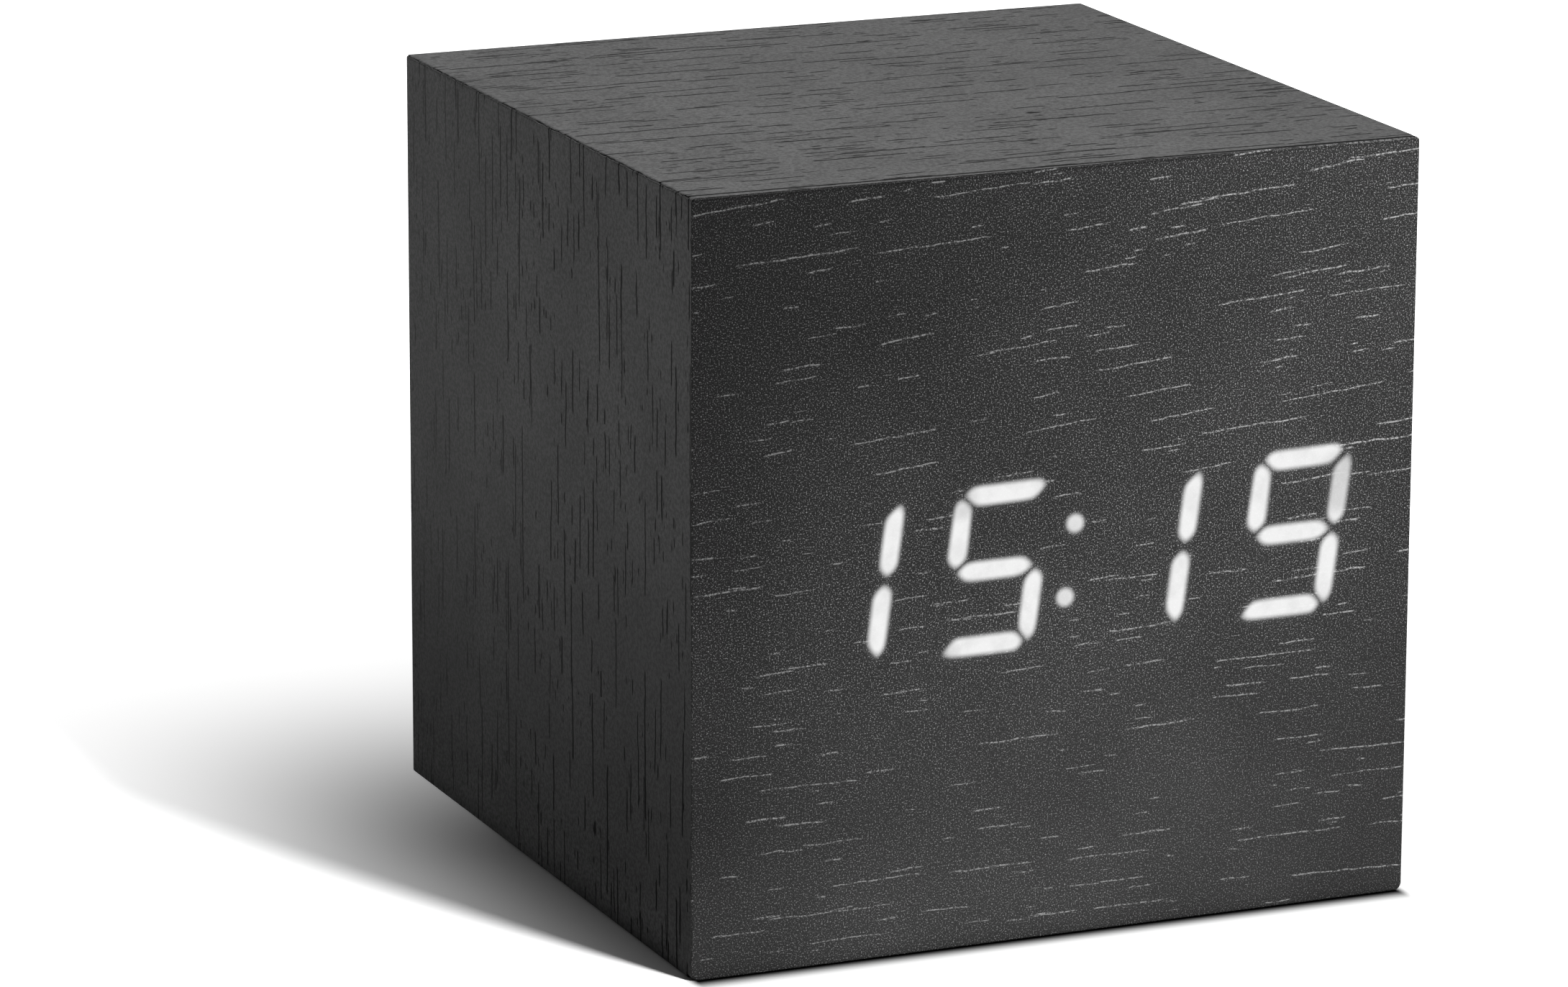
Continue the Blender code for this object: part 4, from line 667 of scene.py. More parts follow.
def front_skin():
    """Smoke-black film. Pebbles and pale broken grain lines are raised out of it. Its grey is a painted
    light tone, paler where the light falls, with a painted shade just under the top edge. The pebbles
    carry painted glints, calmer low down, and the lines and the top edge carry painted highlights.
    The lit bars read their distance from the mesh, and go from dark to white over a soft edge."""
    skin = Finish("front_skin", 0.42, specular=0.05)
    here, x, y, z = skin.here, skin.x, skin.y, skin.z
    slope = ramp(z, *LINE_SLOPE)
    long_share = most(ramp(x, *LONG_SHARE_ACROSS), ramp(z, *LONG_SHARE_BELOW))
    short_share = ramp(noise(here, 0.09, 1.0), 0.4, 0.62, 0.16, 0.6)
    beads = ramp(noise(here, 4.4, 1.0), 0.4, 0.58, 0.12, 1.0)
    lines = most(
        grain_lines(x, z, (13.5, 2.3), (1.4, 5.6), (0.07, 0.12), long_share, slope, 0.035, 5.9),
        grain_lines(x, z, (6.0, 1.4), (0.5, 2.2), (0.06, 0.12), short_share, slope, 0.04, 17.2),
    )
    lines = lines * (beads * (y < 1000 * FRONT_HIGH.y - LINES_STOP_MM))

    pebble = noise(here, 7.5, 2.0, 0.65)
    # A painted light tone: the film paler and darker across the front by where the light falls on it.
    low_painted_light = ramp(x, *LOW_PAINTED_LIGHT_LEFT) - ramp(x, *LOW_PAINTED_LIGHT_RIGHT)
    middle_painted_light = ramp(z, *MIDDLE_PAINTED_LIGHT_FOOT) - ramp(z, *MIDDLE_PAINTED_LIGHT_TOP)
    foot_painted_light = ramp(z, *FOOT_PAINTED_LIGHT) * ramp(x, *FOOT_PAINTED_LIGHT_LEFT)
    painted_light = between(ramp(z, *PAINTED_LIGHT_HEIGHTS_MM), low_painted_light, ramp(x, *HIGH_PAINTED_LIGHT)) + (foot_painted_light + middle_painted_light)
    # Painted glints on the pebbles, calmed towards their mean low down and to the right.
    calm = ramp(z, *CALM_BELOW) * ramp(x, *CALM_ACROSS)
    glints = between(calm, ramp(pebble, 0.52, 0.74), PAINTED_GLINT_MEAN)
    cloud = ramp(noise(here, 0.06, 3.0), start=0.9, end=1.1)
    film = painted_light * (cloud * (glints * PAINTED_GLINT_GREY + SKIN_GREY))
    from_top = z - FRONT_TOP_MM
    # A painted shade in a narrow band just under the top edge.
    film = film * ramp(from_top, *RIM_PAINTED_SHADE)
    # Painted highlights: the lines brighter where the light falls, and a painted highlight along the top
    # edge towards the right.
    painted_line_light = between(ramp(z, *PAINTED_LINE_LIGHT_HEIGHTS_MM), ramp(x, *LOW_PAINTED_LINE_LIGHT), ramp(x, *HIGH_PAINTED_LINE_LIGHT))
    rim = ramp(from_top, *RIM_PAINTED_LIT_MM) * ramp(x, *RIM_PAINTED_LIT_ACROSS_MM)
    grey = film + most(lines * painted_line_light, rim * (beads * RIM_PAINTED_LIGHT)) * LINE_GREY

    layers = apart(put(skin.tree, "Attribute", output="Vector", attribute_name="lamp_distance"))
    bars = most(*[ramp(layer, *BAR_EDGE_MM) for layer in layers])
    halo = most(*[ramp(layer, *HALO) for layer in layers])
    veil = ramp(noise(here, 0.55, 4.0, 0.6), 0.3, 0.62, 0.9, 1.0)
    for spot_x, spot_z, reach, loss in WEAK_SPOTS_MM:
        away = places("DISTANCE", here, (spot_x, 1000 * FRONT_LOW.y, spot_z), output="Value")
        veil = veil * ramp(away, reach * 0.5, reach, 1.0 - loss, 1.0)
    skin.glow(bars * veil * (lines * -0.05 + 1.0) * LAMP_WHITE + halo)
    skin.drive("Base Color", grey * ramp(bars, 0.0, 1.0, 1.0, 0.2))
    skin.emboss(pebble * 0.7 + lines, 0.00003)
    return skin.material


front = front_sheet(front_skin())
points = np.empty(len(front.data.vertices) * 3, np.float32)
front.data.vertices.foreach_get("co", points)
points = points.reshape(-1, 3) * 1000
lamps = lamp_distances(points[:, 0], points[:, 2])
stored = front.data.attributes.new("lamp_distance", "FLOAT_VECTOR", "POINT")
stored.data.foreach_set("vector", lamps.T.astype(np.float32).ravel())
front.data.materials.append(lying_film)
front.data.materials.append(standing_film)
normals = np.empty(len(front.data.polygons) * 3, np.float32)
front.data.polygons.foreach_get("normal", normals)
normals = np.abs(normals.reshape(-1, 3))
edge_film = np.where(normals[:, 0] > normals[:, 2], 2, 1)
front.data.polygons.foreach_set("material_index", (normals[:, 1] < 0.1) * edge_film)
fit(front, "case", "front_panel")


# Four strips of planed pine, glued into the back corners of the box. The back screws bite into
# their end grain.

PINE_PALE = (0.60, 0.41, 0.22)
PINE_DARK = (0.42, 0.24, 0.11)


def dress(material, *names):
    """Gives pieces of the frame their finish."""
    for name in names:
        for held in nodes[name].material_slots:
            held.material = material


def pine():
    """Planed pine with its grain along y: dark late wood is a sine across the strip, bent by drawn
    out clouds, and finer clouds are the fibres."""
    wood = Finish("pine", 0.62, specular=0.3)
    drawn = places("MULTIPLY", wood.here, (1.0, 0.06, 1.0))
    across = wood.x * 1.7 + (wood.z * 3.6 + noise(drawn, 0.3, 2.0) * 9.0)
    late = ramp(sums("SINE", across), -0.2, 1.0)
    fibres = noise(drawn, 5.0, 4.0, 0.7)
    wood.drive("Base Color", mix(ramp(fibres) * 0.35 + late * 0.6, PINE_PALE, PINE_DARK))
    wood.emboss(fibres, 0.00004)
    return wood.material


dress(pine(), *[f"corner_block_{side}_{height}" for side in ("left", "right") for height in ("low", "high")])


# The diffuser is a loose sheet of matte white film. The light block behind it is a white moulding
# with a well for each bar of a digit, and stops light from leaking from one well to the next.

WHITE = (0.82, 0.82, 0.80)
DIFFUSER_WHITE = (0.86, 0.86, 0.85)


def tinted(colour, share):
    """A colour made darker or lighter."""
    return [part * share for part in colour]


def moulded(name, colour, roughness, per_mm, depth):
    """Moulded plastic: its colour flows a little darker and lighter in wide clouds, and fine clouds
    press its skin in and vary its gloss."""
    plastic = Finish(name, roughness, specular=0.4)
    skin = noise(plastic.here, per_mm, 3.0, 0.6)
    both = noise(plastic.here, 0.12, 3.0) * 0.6 + skin * 0.4
    plastic.drive("Base Color", mix(ramp(both, 0.35, 0.65), tinted(colour, 0.9), tinted(colour, 1.08)))
    plastic.drive("Roughness", ramp(skin, start=roughness - 0.06, end=roughness + 0.06))
    plastic.emboss(skin, depth)
    return plastic.material


dress(moulded("matte_film", DIFFUSER_WHITE, 0.7, 9.0, 0.000008), "diffuser_sheet")
dress(moulded("white_moulding", WHITE, 0.42, 4.0, 0.00002), "light_block")


# Two circuit boards of glass fibre and epoxy, green over copper on both faces and bare on the
# sawn edges. The display board carries an LED for each bar, the main board the clock's works.

MASK_GREEN = (0.006, 0.075, 0.030)
TRACE_GREEN = (0.014, 0.135, 0.055)
LAMINATE = (0.36, 0.31, 0.15)
LAMINATE_DARK = (0.22, 0.17, 0.07)
INK_WHITE = (0.75, 0.76, 0.72)
SOLDER = (0.66, 0.67, 0.66)
HOLE_SHADE_BLACK = (0.01, 0.01, 0.01)
LED_WHITE = (0.80, 0.80, 0.77)
PHOSPHOR = (0.80, 0.66, 0.18)
TRACE_PITCH_MM = 0.7
BLOCK_MM = (5.0, 4.0)
HOLES_PER_MM = 0.30
LED_FOOT_Y_MM = -23.42
LED_FACE_Y_MM = -23.98
OUTLINES_MM = (
    (-6.0, 33.4, 5.7, 4.7),
    (10.0, 33.4, 7.1, 2.2),
    (-6.0, 55.0, 5.7, 4.7),
    (10.0, 52.1, 7.1, 2.2),
    (-15.5, 55.1, 1.7, 3.7),
)


def random_at(where):
    """A random number from 0 to 1 of each separate place."""
    return put(where.tree, "TexWhiteNoise", [("Vector", where)], "Value")


def wired_board():
    """The board is cut into blocks whose random number turns the traces level or upright. In a
    block, lanes at an even pitch hold a trace where their own random number is high. Ink lines run
    where a box's edge is near, and plated holes sit at random points: a solder ring round a painted
    black shade for the hole."""
    board = Finish("wired_board", 0.34, specular=0.5)
    x, y, z = board.x, board.y, board.z
    block = [sums("FLOOR", measure / size) for measure, size in zip((x, z), BLOCK_MM)]
    lane = between(random_at(place(*block)) > 0.5, z, x) / TRACE_PITCH_MM
    there = random_at(place(*block, sums("FLOOR", lane))) > 0.4
    trace = ramp(abs(sums("FRACT", lane) - 0.5), 0.16, 0.22, 1.0, 0.0) * there
    away, colour = cells(place(x, z), HOLES_PER_MM, "Distance", "Color")
    drilled = chances(colour)[0] > 0.55
    ring = ramp(away, 0.10, 0.12, 1.0, 0.0) * drilled
    # The middle of each hole is painted black as the hole's shade.
    painted_hole_shade = ramp(away, 0.045, 0.06, 1.0, 0.0) * drilled
    inked = []
    for middle_x, middle_z, half_x, half_z in OUTLINES_MM:
        edge = abs(most(abs(x - middle_x) - half_x, abs(z - middle_z) - half_z))
        inked.append(ramp(edge, 0.06, 0.10, 1.0, 0.0))
    sawn = true_normal(board.tree)[1] < 0.5
    is_led = y < LED_FOOT_Y_MM
    face = mix(trace, MASK_GREEN, TRACE_GREEN)
    face = mix(ring, face, SOLDER)
    face = mix(painted_hole_shade, face, HOLE_SHADE_BLACK)
    face = mix(most(*inked), face, INK_WHITE)
    fibres = noise(board.here, 3.0, 4.0, 0.7)
    laminate = mix(ramp(fibres, 0.35, 0.65), LAMINATE_DARK, LAMINATE)
    led = mix(y < LED_FACE_Y_MM, LED_WHITE, PHOSPHOR)
    board.drive("Base Color", mix(is_led, mix(sawn, face, laminate), led))
    board.drive("Metallic", ring * (1.0 - most(painted_hole_shade, sawn, is_led)))
    board.emboss(trace * 0.6 + fibres * 0.15, 0.00004)
    return board.material


dress(wired_board(), "display_board", "main_board")


# The two chips, each moulded in black epoxy round a frame whose tinned legs are bent flat to the
# board, with a round dent at the first leg. Connectors of cream plastic stand beside them.

EPOXY = (0.018, 0.018, 0.019)
EPOXY_PALE = (0.034, 0.034, 0.036)
DENT_GREY = (0.05, 0.05, 0.052)
CREAM = (0.70, 0.66, 0.54)
CHIP_X_MM = -6.0
CHIP_HEIGHTS_MM = (33.4, 55.0)
CHIP_HALF_MM = 3.0
DENT_MM = (-4.2, -2.0, 0.45)


def span(first, second):
    """The length of two readings square to each other."""
    return places("LENGTH", place(first, second), output="Value")


def chip_epoxy():
    """Epoxy with a fine grain. Beyond the body's half width the surface is tinned leg. The dent is a
    smooth step in the distance from its middle."""
    chip = Finish("chip_epoxy", 0.55, specular=0.4)
    low, high = CHIP_HEIGHTS_MM
    side = chip.z - ((chip.z > (low + high) / 2) * (high - low) + low)
    leg = abs(side) > CHIP_HALF_MM + 0.01
    dent_x, dent_z, dent_radius = DENT_MM
    away = span(chip.x - (CHIP_X_MM + dent_x), side - dent_z)
    dent = ramp(away, dent_radius - 0.08, dent_radius, 1.0, 0.0)
    grain = noise(chip.here, 6.0, 3.0, 0.6)
    epoxy = mix(dent, mix(ramp(grain), EPOXY, EPOXY_PALE), DENT_GREY)
    chip.drive("Base Color", mix(leg, epoxy, SOLDER))
    chip.drive("Metallic", leg)
    chip.drive("Roughness", ramp(leg, 0.0, 1.0, 0.55, 0.3))
    chip.emboss(grain * 0.3 - dent * 1.2, 0.00006)
    return chip.material


dress(chip_epoxy(), "display_driver", "clock_chip")
dress(moulded("cream_plastic", CREAM, 0.5, 5.0, 0.000015), "display_header", "main_header")


# The flat cable between the boards: ten fine wires side by side under one grey skin, the first one
# marked red. It bends from one connector back to the other.

CABLE_WIRES = 10
CABLE_X_MM = 10.0
CABLE_WIDTH_MM = 11.0
CABLE_THICKNESS_MM = 0.9
CABLE_WEB = 0.5
CABLE_ENDS_MM = ((-19.2, 33.4), (16.0, 52.1))
CABLE_REACH_MM = 12.0
CABLE_STEPS = 64
CABLE_GREY = (0.34, 0.35, 0.37)
CABLE_RED = (0.42, 0.03, 0.025)


def bezier(start, first, second, end, count):
    """Points on a cubic curve: each control point weighed by its Bernstein polynomial."""
    t = np.linspace(0, 1, count)[:, None]
    start, first, second, end = (np.array(point, float) for point in (start, first, second, end))
    return (1 - t) ** 3 * start + 3 * t * (1 - t) ** 2 * first + 3 * t ** 2 * (1 - t) * second + t ** 3 * end


def flat_cable(material):
    """Half the thickness is the root of one less the squared place across a wire, and never less
    than the web's. This section is carried along a cubic curve, square to it."""
    across = np.linspace(0, CABLE_WIRES, CABLE_WIRES * 10 + 1)
    in_wire = 2 * (across - np.floor(across)) - 1
    half = CABLE_THICKNESS_MM / 2 * np.maximum(CABLE_WEB, np.sqrt(np.clip(1 - in_wire ** 2, 0, 1)))
    half[[0, -1]] = CABLE_THICKNESS_MM * 0.1
    x = CABLE_X_MM + (across / CABLE_WIRES - 0.5) * CABLE_WIDTH_MM
    section_x = np.concatenate([x, x[::-1]])
    section_h = np.concatenate([half, -half[::-1]])
    (y0, z0), (y1, z1) = CABLE_ENDS_MM
    line = bezier((y0, z0), (y0 + CABLE_REACH_MM, z0), (y1 - CABLE_REACH_MM, z1), (y1, z1), CABLE_STEPS)
    ahead = np.gradient(line, axis=0)
    ahead /= np.linalg.norm(ahead, axis=1)[:, None]
    y = line[:, :1] - ahead[:, 1:] * section_h
    z = line[:, 1:] + ahead[:, :1] * section_h
    points = np.stack([np.broadcast_to(section_x, y.shape), y, z], -1) / 1000
    return tube("flat_cable", points, material, math.radians(60))


def cable_skin():
    """Grey rubber, red over the first wire's width."""
    skin = Finish("cable_skin", 0.45, specular=0.4)
    red_to = CABLE_X_MM - CABLE_WIDTH_MM / 2 + 1.0
    ripple = noise(skin.here, 4.0, 3.0)
    grey = mix(ramp(ripple), tinted(CABLE_GREY, 0.88), CABLE_GREY)
    skin.drive("Base Color", mix(ramp(skin.x, red_to, red_to + 0.15, 1.0, 0.0), grey, CABLE_RED))
    skin.emboss(ripple, 0.00001)
    return skin.material


fit(flat_cable(cable_skin()), "case", "display_ribbon")


# Eleven pan-head screws with a cross recess: zinc-plated ones through the circuit boards into
# plastic, and longer blackened ones through the back panel into the pine strips.

SCREW_SIDES = 72
HEAD_RADIUS_MM = 1.8
HEAD_RISE_MM = 1.1
FACE_RADIUS_MM = 1.2
SHANK_RADIUS_MM = 0.9
CORE_RADIUS_MM = 0.62
TIP_MM = 0.8
CROSS_MM = (1.0, 0.25, 0.6)
THREAD_ROWS = 9
HEAD_PROFILE_MM = (
    (FACE_RADIUS_MM, 1.05),
    (1.66, 0.86),
    (HEAD_RADIUS_MM, 0.45),
    (HEAD_RADIUS_MM, 0.06),
    (1.7, 0.0),
    (SHANK_RADIUS_MM, 0.0),
)
ZINC = (0.56, 0.57, 0.58)
BLACKENED = (0.045, 0.045, 0.048)


def metal(name, colour, roughness, drawn=(1, 1, 1)):
    """Plated or rolled metal: clouds drawn out along one direction vary its tone, its gloss and its
    height a little, and wider clouds are where it has tarnished."""
    plate = Finish(name, roughness, metallic=1.0)
    streaks = noise(places("MULTIPLY", plate.here, drawn), 4.0, 3.0, 0.6)
    tarnish = ramp(noise(plate.here, 0.5, 3.0), 0.35, 0.7)
    both = streaks * 0.5 + tarnish * 0.5
    plate.drive("Base Color", mix(ramp(both, 0.2, 0.8), tinted(colour, 1.1), tinted(colour, 0.78)))
    plate.drive("Roughness", ramp(both, 0.2, 0.8, roughness - 0.07, roughness + 0.12))
    plate.emboss(streaks, 0.000004)
    return plate.material


def eased(rows, reach, steps=4):
    """Rounds the corners of a profile. Each corner gives way to a quadratic curve that leaves the
    line before it and joins the line after it, reach mm away or at their middles."""
    rows = np.array(rows, float)
    found = [rows[:1]]
    t = np.linspace(0, 1, steps)[:, None]
    for before, corner, after in zip(rows, rows[1:], rows[2:]):
        back, on = before - corner, after - corner
        start = corner + back * min(0.5, reach / max(1e-6, np.linalg.norm(back[:2])))
        end = corner + on * min(0.5, reach / max(1e-6, np.linalg.norm(on[:2])))
        found.append((1 - t) ** 2 * start + 2 * t * (1 - t) * corner + t ** 2 * end)
    return np.vstack(found + [rows[-1:]])


def middle_of(node):
    """The middle of a piece of the frame, in x and z, in mm."""
    low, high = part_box(node)
    return 500 * (low.x + high.x), 500 * (low.z + high.z)


def screw(name, middle, seat, head_side, length, pitch, material):
    """Radius and height above the seat, in mm, over rows and angles. The head is a dome less the
    cross, whose depth is a smooth step in the distance inside either bar. Along the shank the
    radius is the core's plus a ridge where the height in pitches plus the angle in turns is whole."""
    angle = np.linspace(0, 2 * math.pi, SCREW_SIDES, endpoint=False)[None, :]
    face = np.linspace(0.01, FACE_RADIUS_MM, 26)[:, None]
    u, v = np.abs(face * np.cos(angle)), np.abs(face * np.sin(angle))
    long_half, thin_half, depth = CROSS_MM
    inside = np.minimum(np.maximum(u - long_half, v - thin_half), np.maximum(u - thin_half, v - long_half))
    dome = HEAD_RISE_MM - 0.05 * (face / FACE_RADIUS_MM) ** 2
    top = dome - depth * np.clip(0.5 - inside / 0.12, 0, 1)
    rim = eased(HEAD_PROFILE_MM, 0.12)
    down = np.linspace(0.0, length, int(THREAD_ROWS * (length - TIP_MM) / pitch))[:, None]
    phase = (down / pitch + angle / (2 * math.pi)) % 1.0
    ridge = np.clip(1 - np.abs(2 * phase - 1) * 1.5, 0, 1) * np.clip(down / 0.6, 0, 1)
    shank = CORE_RADIUS_MM + (SHANK_RADIUS_MM - CORE_RADIUS_MM) * ridge
    shank = shank * np.clip((length - down) / TIP_MM + 0.02, 0, 1)
    bands = ((face, top), (rim[:, :1], rim[:, 1:]), (shank, -down))
    full = [[np.broadcast_to(rows, (len(rows), SCREW_SIDES)) for rows in band] for band in bands]
    radius, height = (np.vstack(rows) for rows in zip(*full))
    x = middle[0] + radius * np.cos(angle)
    z = middle[1] + radius * np.sin(angle)
    return tube(name, np.stack([x, seat + head_side * height, z], -1) / 1000, material)


zinc = metal("zinc_plate", ZINC, 0.34)
blackened = metal("blackened_steel", BLACKENED, 0.42)
SCREWS = (
    ("display_screw", 4, 1, 5.0, 0.7, zinc, "screws"),
    ("board_screw", 3, -1, 5.0, 0.7, zinc, "screws"),
    ("back_screw", 4, 1, 9.0, 0.9, blackened, "back_screws"),
)
for kind, number, head_side, length, pitch, plating, slot in SCREWS:
    for which in range(1, number + 1):
        low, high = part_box(f"{kind}_{which}")
        seat = 1000 * (high if head_side > 0 else low).y - head_side * HEAD_RISE_MM
        middle = middle_of(f"{kind}_{which}")
        made = screw(f"{kind}_turned_{which}", middle, seat, head_side, length, pitch, plating)
        fit(made, "case", f"{kind}_{which}")


# The parts soldered to the back of the main board: a clock crystal in a drawn can that lies flat,
# and a capacitor in a shrunk sleeve with a pale stripe and a scored top.

SLEEVE_NAVY = (0.012, 0.018, 0.045)
STRIPE_GREY = (0.42, 0.43, 0.46)
ALUMINIUM_DARK = (0.55, 0.55, 0.56)
ALUMINIUM_PALE = (0.75, 0.75, 0.76)
CAN_GREY = (0.70, 0.70, 0.70)
CAPACITOR_TOP_MM = 11.3
BARE_TOP_RADIUS_MM = 2.0
STRIPE_EDGE_MM = (-2.25, -2.2)
CAPACITOR_PROFILE = (
    (18.3, 0.02), (18.3, 2.2), (18.0, 2.5), (17.1, 2.5), (16.9, 2.25), (16.5, 2.25), (16.3, 2.5),
    (11.55, 2.5), (11.3, 2.3), (11.3, 2.05), (11.45, 1.95), (11.45, 0.02),
)
CRYSTAL_MIDDLE_MM = (-15.5, 17.3)
CRYSTAL_PROFILE = (
    (52.1, 0.02), (52.1, 1.0), (52.45, 1.0), (52.55, 0.92), (57.7, 0.92), (58.1, 0.7), (58.1, 0.02),
)


def layered(name, middle, rows, material, along="y", arc=8):
    """A body built up in layers along an axis. A row gives a layer's place on the axis, half its
    two widths, and the radius of its corners, in mm, so that a layer is a rounded rectangle, or a
    circle where the three agree. Quads join the layers, and the first and last are closed."""
    rows = np.asarray(rows, float)
    angle = np.concatenate([np.linspace(0, math.pi / 2, arc) + turn * math.pi / 2 for turn in range(4)])
    side_u, side_v = np.repeat((1, -1, -1, 1), arc), np.repeat((1, 1, -1, -1), arc)
    u = middle[0] + side_u * (rows[:, 1:2] - rows[:, 3:]) + rows[:, 3:] * np.cos(angle)
    v = middle[1] + side_v * (rows[:, 2:3] - rows[:, 3:]) + rows[:, 3:] * np.sin(angle)
    w = np.broadcast_to(rows[:, :1], u.shape)
    order = {"x": (w, u, v), "y": (u, w, v), "z": (u, v, w)}[along]
    return tube(name, np.stack(order, -1) / 1000, material)


def turned(name, middle, profile, material, along="y", arc=14, soft=0.12):
    """A body turned on an axis from a profile of places along it and radii, in mm, with its corners
    eased."""
    profile = eased(profile, soft)
    return layered(name, middle, profile[:, [0, 1, 1, 1]], material, along, arc)


def from_axis(first, second, middle):
    """How far a point lies from an axis, and its two offsets from it."""
    offsets = first - middle[0], second - middle[1]
    return span(*offsets), *offsets


def sleeve(middle):
    """A shrunk sleeve with a stripe down one side. Inside its turned-in edge the top is bare
    aluminium, scored with a cross."""
    skin = Finish("capacitor_sleeve", 0.32, specular=0.5)
    away, off_x, off_z = from_axis(skin.x, skin.z, middle)
    bare = (away < BARE_TOP_RADIUS_MM) * (skin.y < CAPACITOR_TOP_MM + 0.4)
    navy = mix(ramp(off_x, *STRIPE_EDGE_MM, 1.0, 0.0), SLEEVE_NAVY, STRIPE_GREY)
    aluminium = mix(ramp(noise(skin.here, 5.0, 3.0)), ALUMINIUM_DARK, ALUMINIUM_PALE)
    skin.drive("Base Color", mix(bare, navy, aluminium))
    skin.drive("Metallic", bare)
    cross = ramp(sums("MINIMUM", abs(off_x), abs(off_z)), 0.05, 0.12, 1.0, 0.0)
    skin.emboss(noise(skin.here, 1.2, 2.0) * 0.2 - cross * bare, 0.0001)
    return skin.material


middle = middle_of("capacitor")
can = turned("capacitor_can", middle, CAPACITOR_PROFILE, sleeve(middle))
fit(can, "case", "capacitor")
tin_can = metal("drawn_can", CAN_GREY, 0.26, (1, 1, 0.1))
crystal = turned("crystal_can", CRYSTAL_MIDDLE_MM, CRYSTAL_PROFILE, tin_can, along="z")
fit(crystal, "case", "clock_crystal")


# The alarm buzzer, a black moulding with a sound hole, and the microphone capsule: an aluminium
# can with felt behind its hole, on two stiff legs that lift it to the back panel.

FELT = (0.012, 0.012, 0.013)
CAPSULE_DARK = (0.60, 0.60, 0.61)
CAPSULE_PALE = (0.78, 0.78, 0.79)
HOLE_RADIUS_MM = 0.83
FELT_FROM_MM = 28.0
LEG_OFF_MM = 1.25
BUZZER_PROFILE = (
    (20.5, 0.02), (20.5, 4.4), (20.8, 4.5), (21.6, 4.5), (21.7, 4.4), (25.6, 4.4), (26.0, 4.1),
    (26.0, 3.3), (25.85, 3.2), (25.85, 1.7), (26.0, 1.6), (26.0, 1.0), (23.25, 1.0), (23.25, 0.02),
)
CAPSULE_PROFILE = (
    (26.2, 0.02), (26.2, 2.7), (26.35, 3.0), (28.7, 3.0), (28.9, 2.8), (28.9, 0.8), (28.65, 0.78),
    (28.65, 0.02),
)
LEG_ROWS = (
    (20.5, 0.02, 0.02, 0.01), (20.5, 0.25, 0.25, 0.06),
    (26.3, 0.25, 0.25, 0.06), (26.3, 0.02, 0.02, 0.01),
)

buzzer_black = moulded("buzzer_black", (0.02, 0.02, 0.021), 0.38, 3.0, 0.000012)
buzzer = turned("buzzer_shell", middle_of("buzzer"), BUZZER_PROFILE, buzzer_black, arc=20)
fit(buzzer, "case", "buzzer")


def joined(first, *others):
    """Puts the meshes of other pieces into the first one's."""
    shape = bmesh.new()
    for piece in (first, *others):
        shape.from_mesh(piece.data)
    shape.to_mesh(first.data)
    shape.free()
    for piece in others:
        bpy.data.objects.remove(piece)
    return first


def capsule_skin(middle):
    """Brushed aluminium, with dark felt inside the hole's radius."""
    skin = Finish("capsule_skin", 0.3)
    away = from_axis(skin.x, skin.z, middle)[0]
    felt = (away < HOLE_RADIUS_MM) * (skin.y > FELT_FROM_MM)
    bright = mix(ramp(noise(skin.here, 3.0, 3.0)), CAPSULE_DARK, CAPSULE_PALE)
    skin.drive("Base Color", mix(felt, bright, FELT))
    skin.drive("Metallic", 1.0 - felt)
    skin.drive("Roughness", ramp(felt, 0.0, 1.0, 0.3, 0.9))
    skin.emboss(noise(skin.here, 9.0, 3.0, 0.7), 0.00001)
    return skin.material


middle = middle_of("sound_sensor")
aluminium = capsule_skin(middle)
legs = []
for side in (-1, 1):
    beside = (middle[0] + side * LEG_OFF_MM, middle[1])
    legs.append(layered(f"leg_{side}", beside, eased(LEG_ROWS, 0.05), aluminium, arc=3))
capsule = joined(turned("capsule", middle, CAPSULE_PROFILE, aluminium), *legs)
fit(capsule, "case", "sound_sensor")


# Three push switches: a black square body under a steel plate held by four rivets, with a round
# plunger. The buttons on the back are turned caps with a shallow dish, on flanges behind the panel.

PLATE_STEEL = (0.60, 0.60, 0.60)
BODY_DARK = (0.016, 0.016, 0.017)
BODY_PALE = (0.028, 0.028, 0.03)
BUTTON_BLACK = (0.030, 0.030, 0.031)
PLATE_Y_MM = 23.7
PLATE_HOLE_MM = 2.02
RIVET_OFF_MM = 2.35
SWITCH_ROWS = (
    (20.5, 0.02, 0.02, 0.02), (20.5, 3.0, 3.0, 0.3), (23.65, 3.0, 3.0, 0.3), (PLATE_Y_MM, 2.85, 2.85, 0.3),
    (24.0, 2.85, 2.85, 0.3), (24.0, 2.0, 2.0, 2.0), (21.3, 2.0, 2.0, 2.0), (21.3, 0.02, 0.02, 0.02),
)
PLUNGER_PROFILE = ((22.1, 0.02), (22.1, 1.7), (24.8, 1.7), (24.8, 0.02))
BUTTON_PROFILE = (
    (25.1, 0.02), (25.1, 1.3), (28.1, 1.3), (28.1, 3.5), (28.9, 3.5), (28.9, 2.7), (32.4, 2.7),
    (32.36, 2.25), (32.2, 1.5), (32.13, 0.7), (32.12, 0.02),
)


def switch_skin(middle):
    """Black plastic up to the plate, then steel, with four dark rivets near the corners."""
    skin = Finish("push_switch_skin", 0.4)
    away, off_x, off_z = from_axis(skin.x, skin.z, middle)
    from_rivet = span(abs(off_x) - RIVET_OFF_MM, abs(off_z) - RIVET_OFF_MM)
    rivet = ramp(from_rivet, 0.30, 0.36, 1.0, 0.0)
    plate = (skin.y > PLATE_Y_MM) * (away > PLATE_HOLE_MM)
    steel = plate * (1.0 - rivet)
    grain = noise(skin.here, 6.0, 3.0)
    skin.drive("Base Color", mix(steel, mix(ramp(grain), BODY_DARK, BODY_PALE), PLATE_STEEL))
    skin.drive("Metallic", steel)
    skin.emboss(plate * rivet + grain * 0.1, 0.00008)
    return skin.material


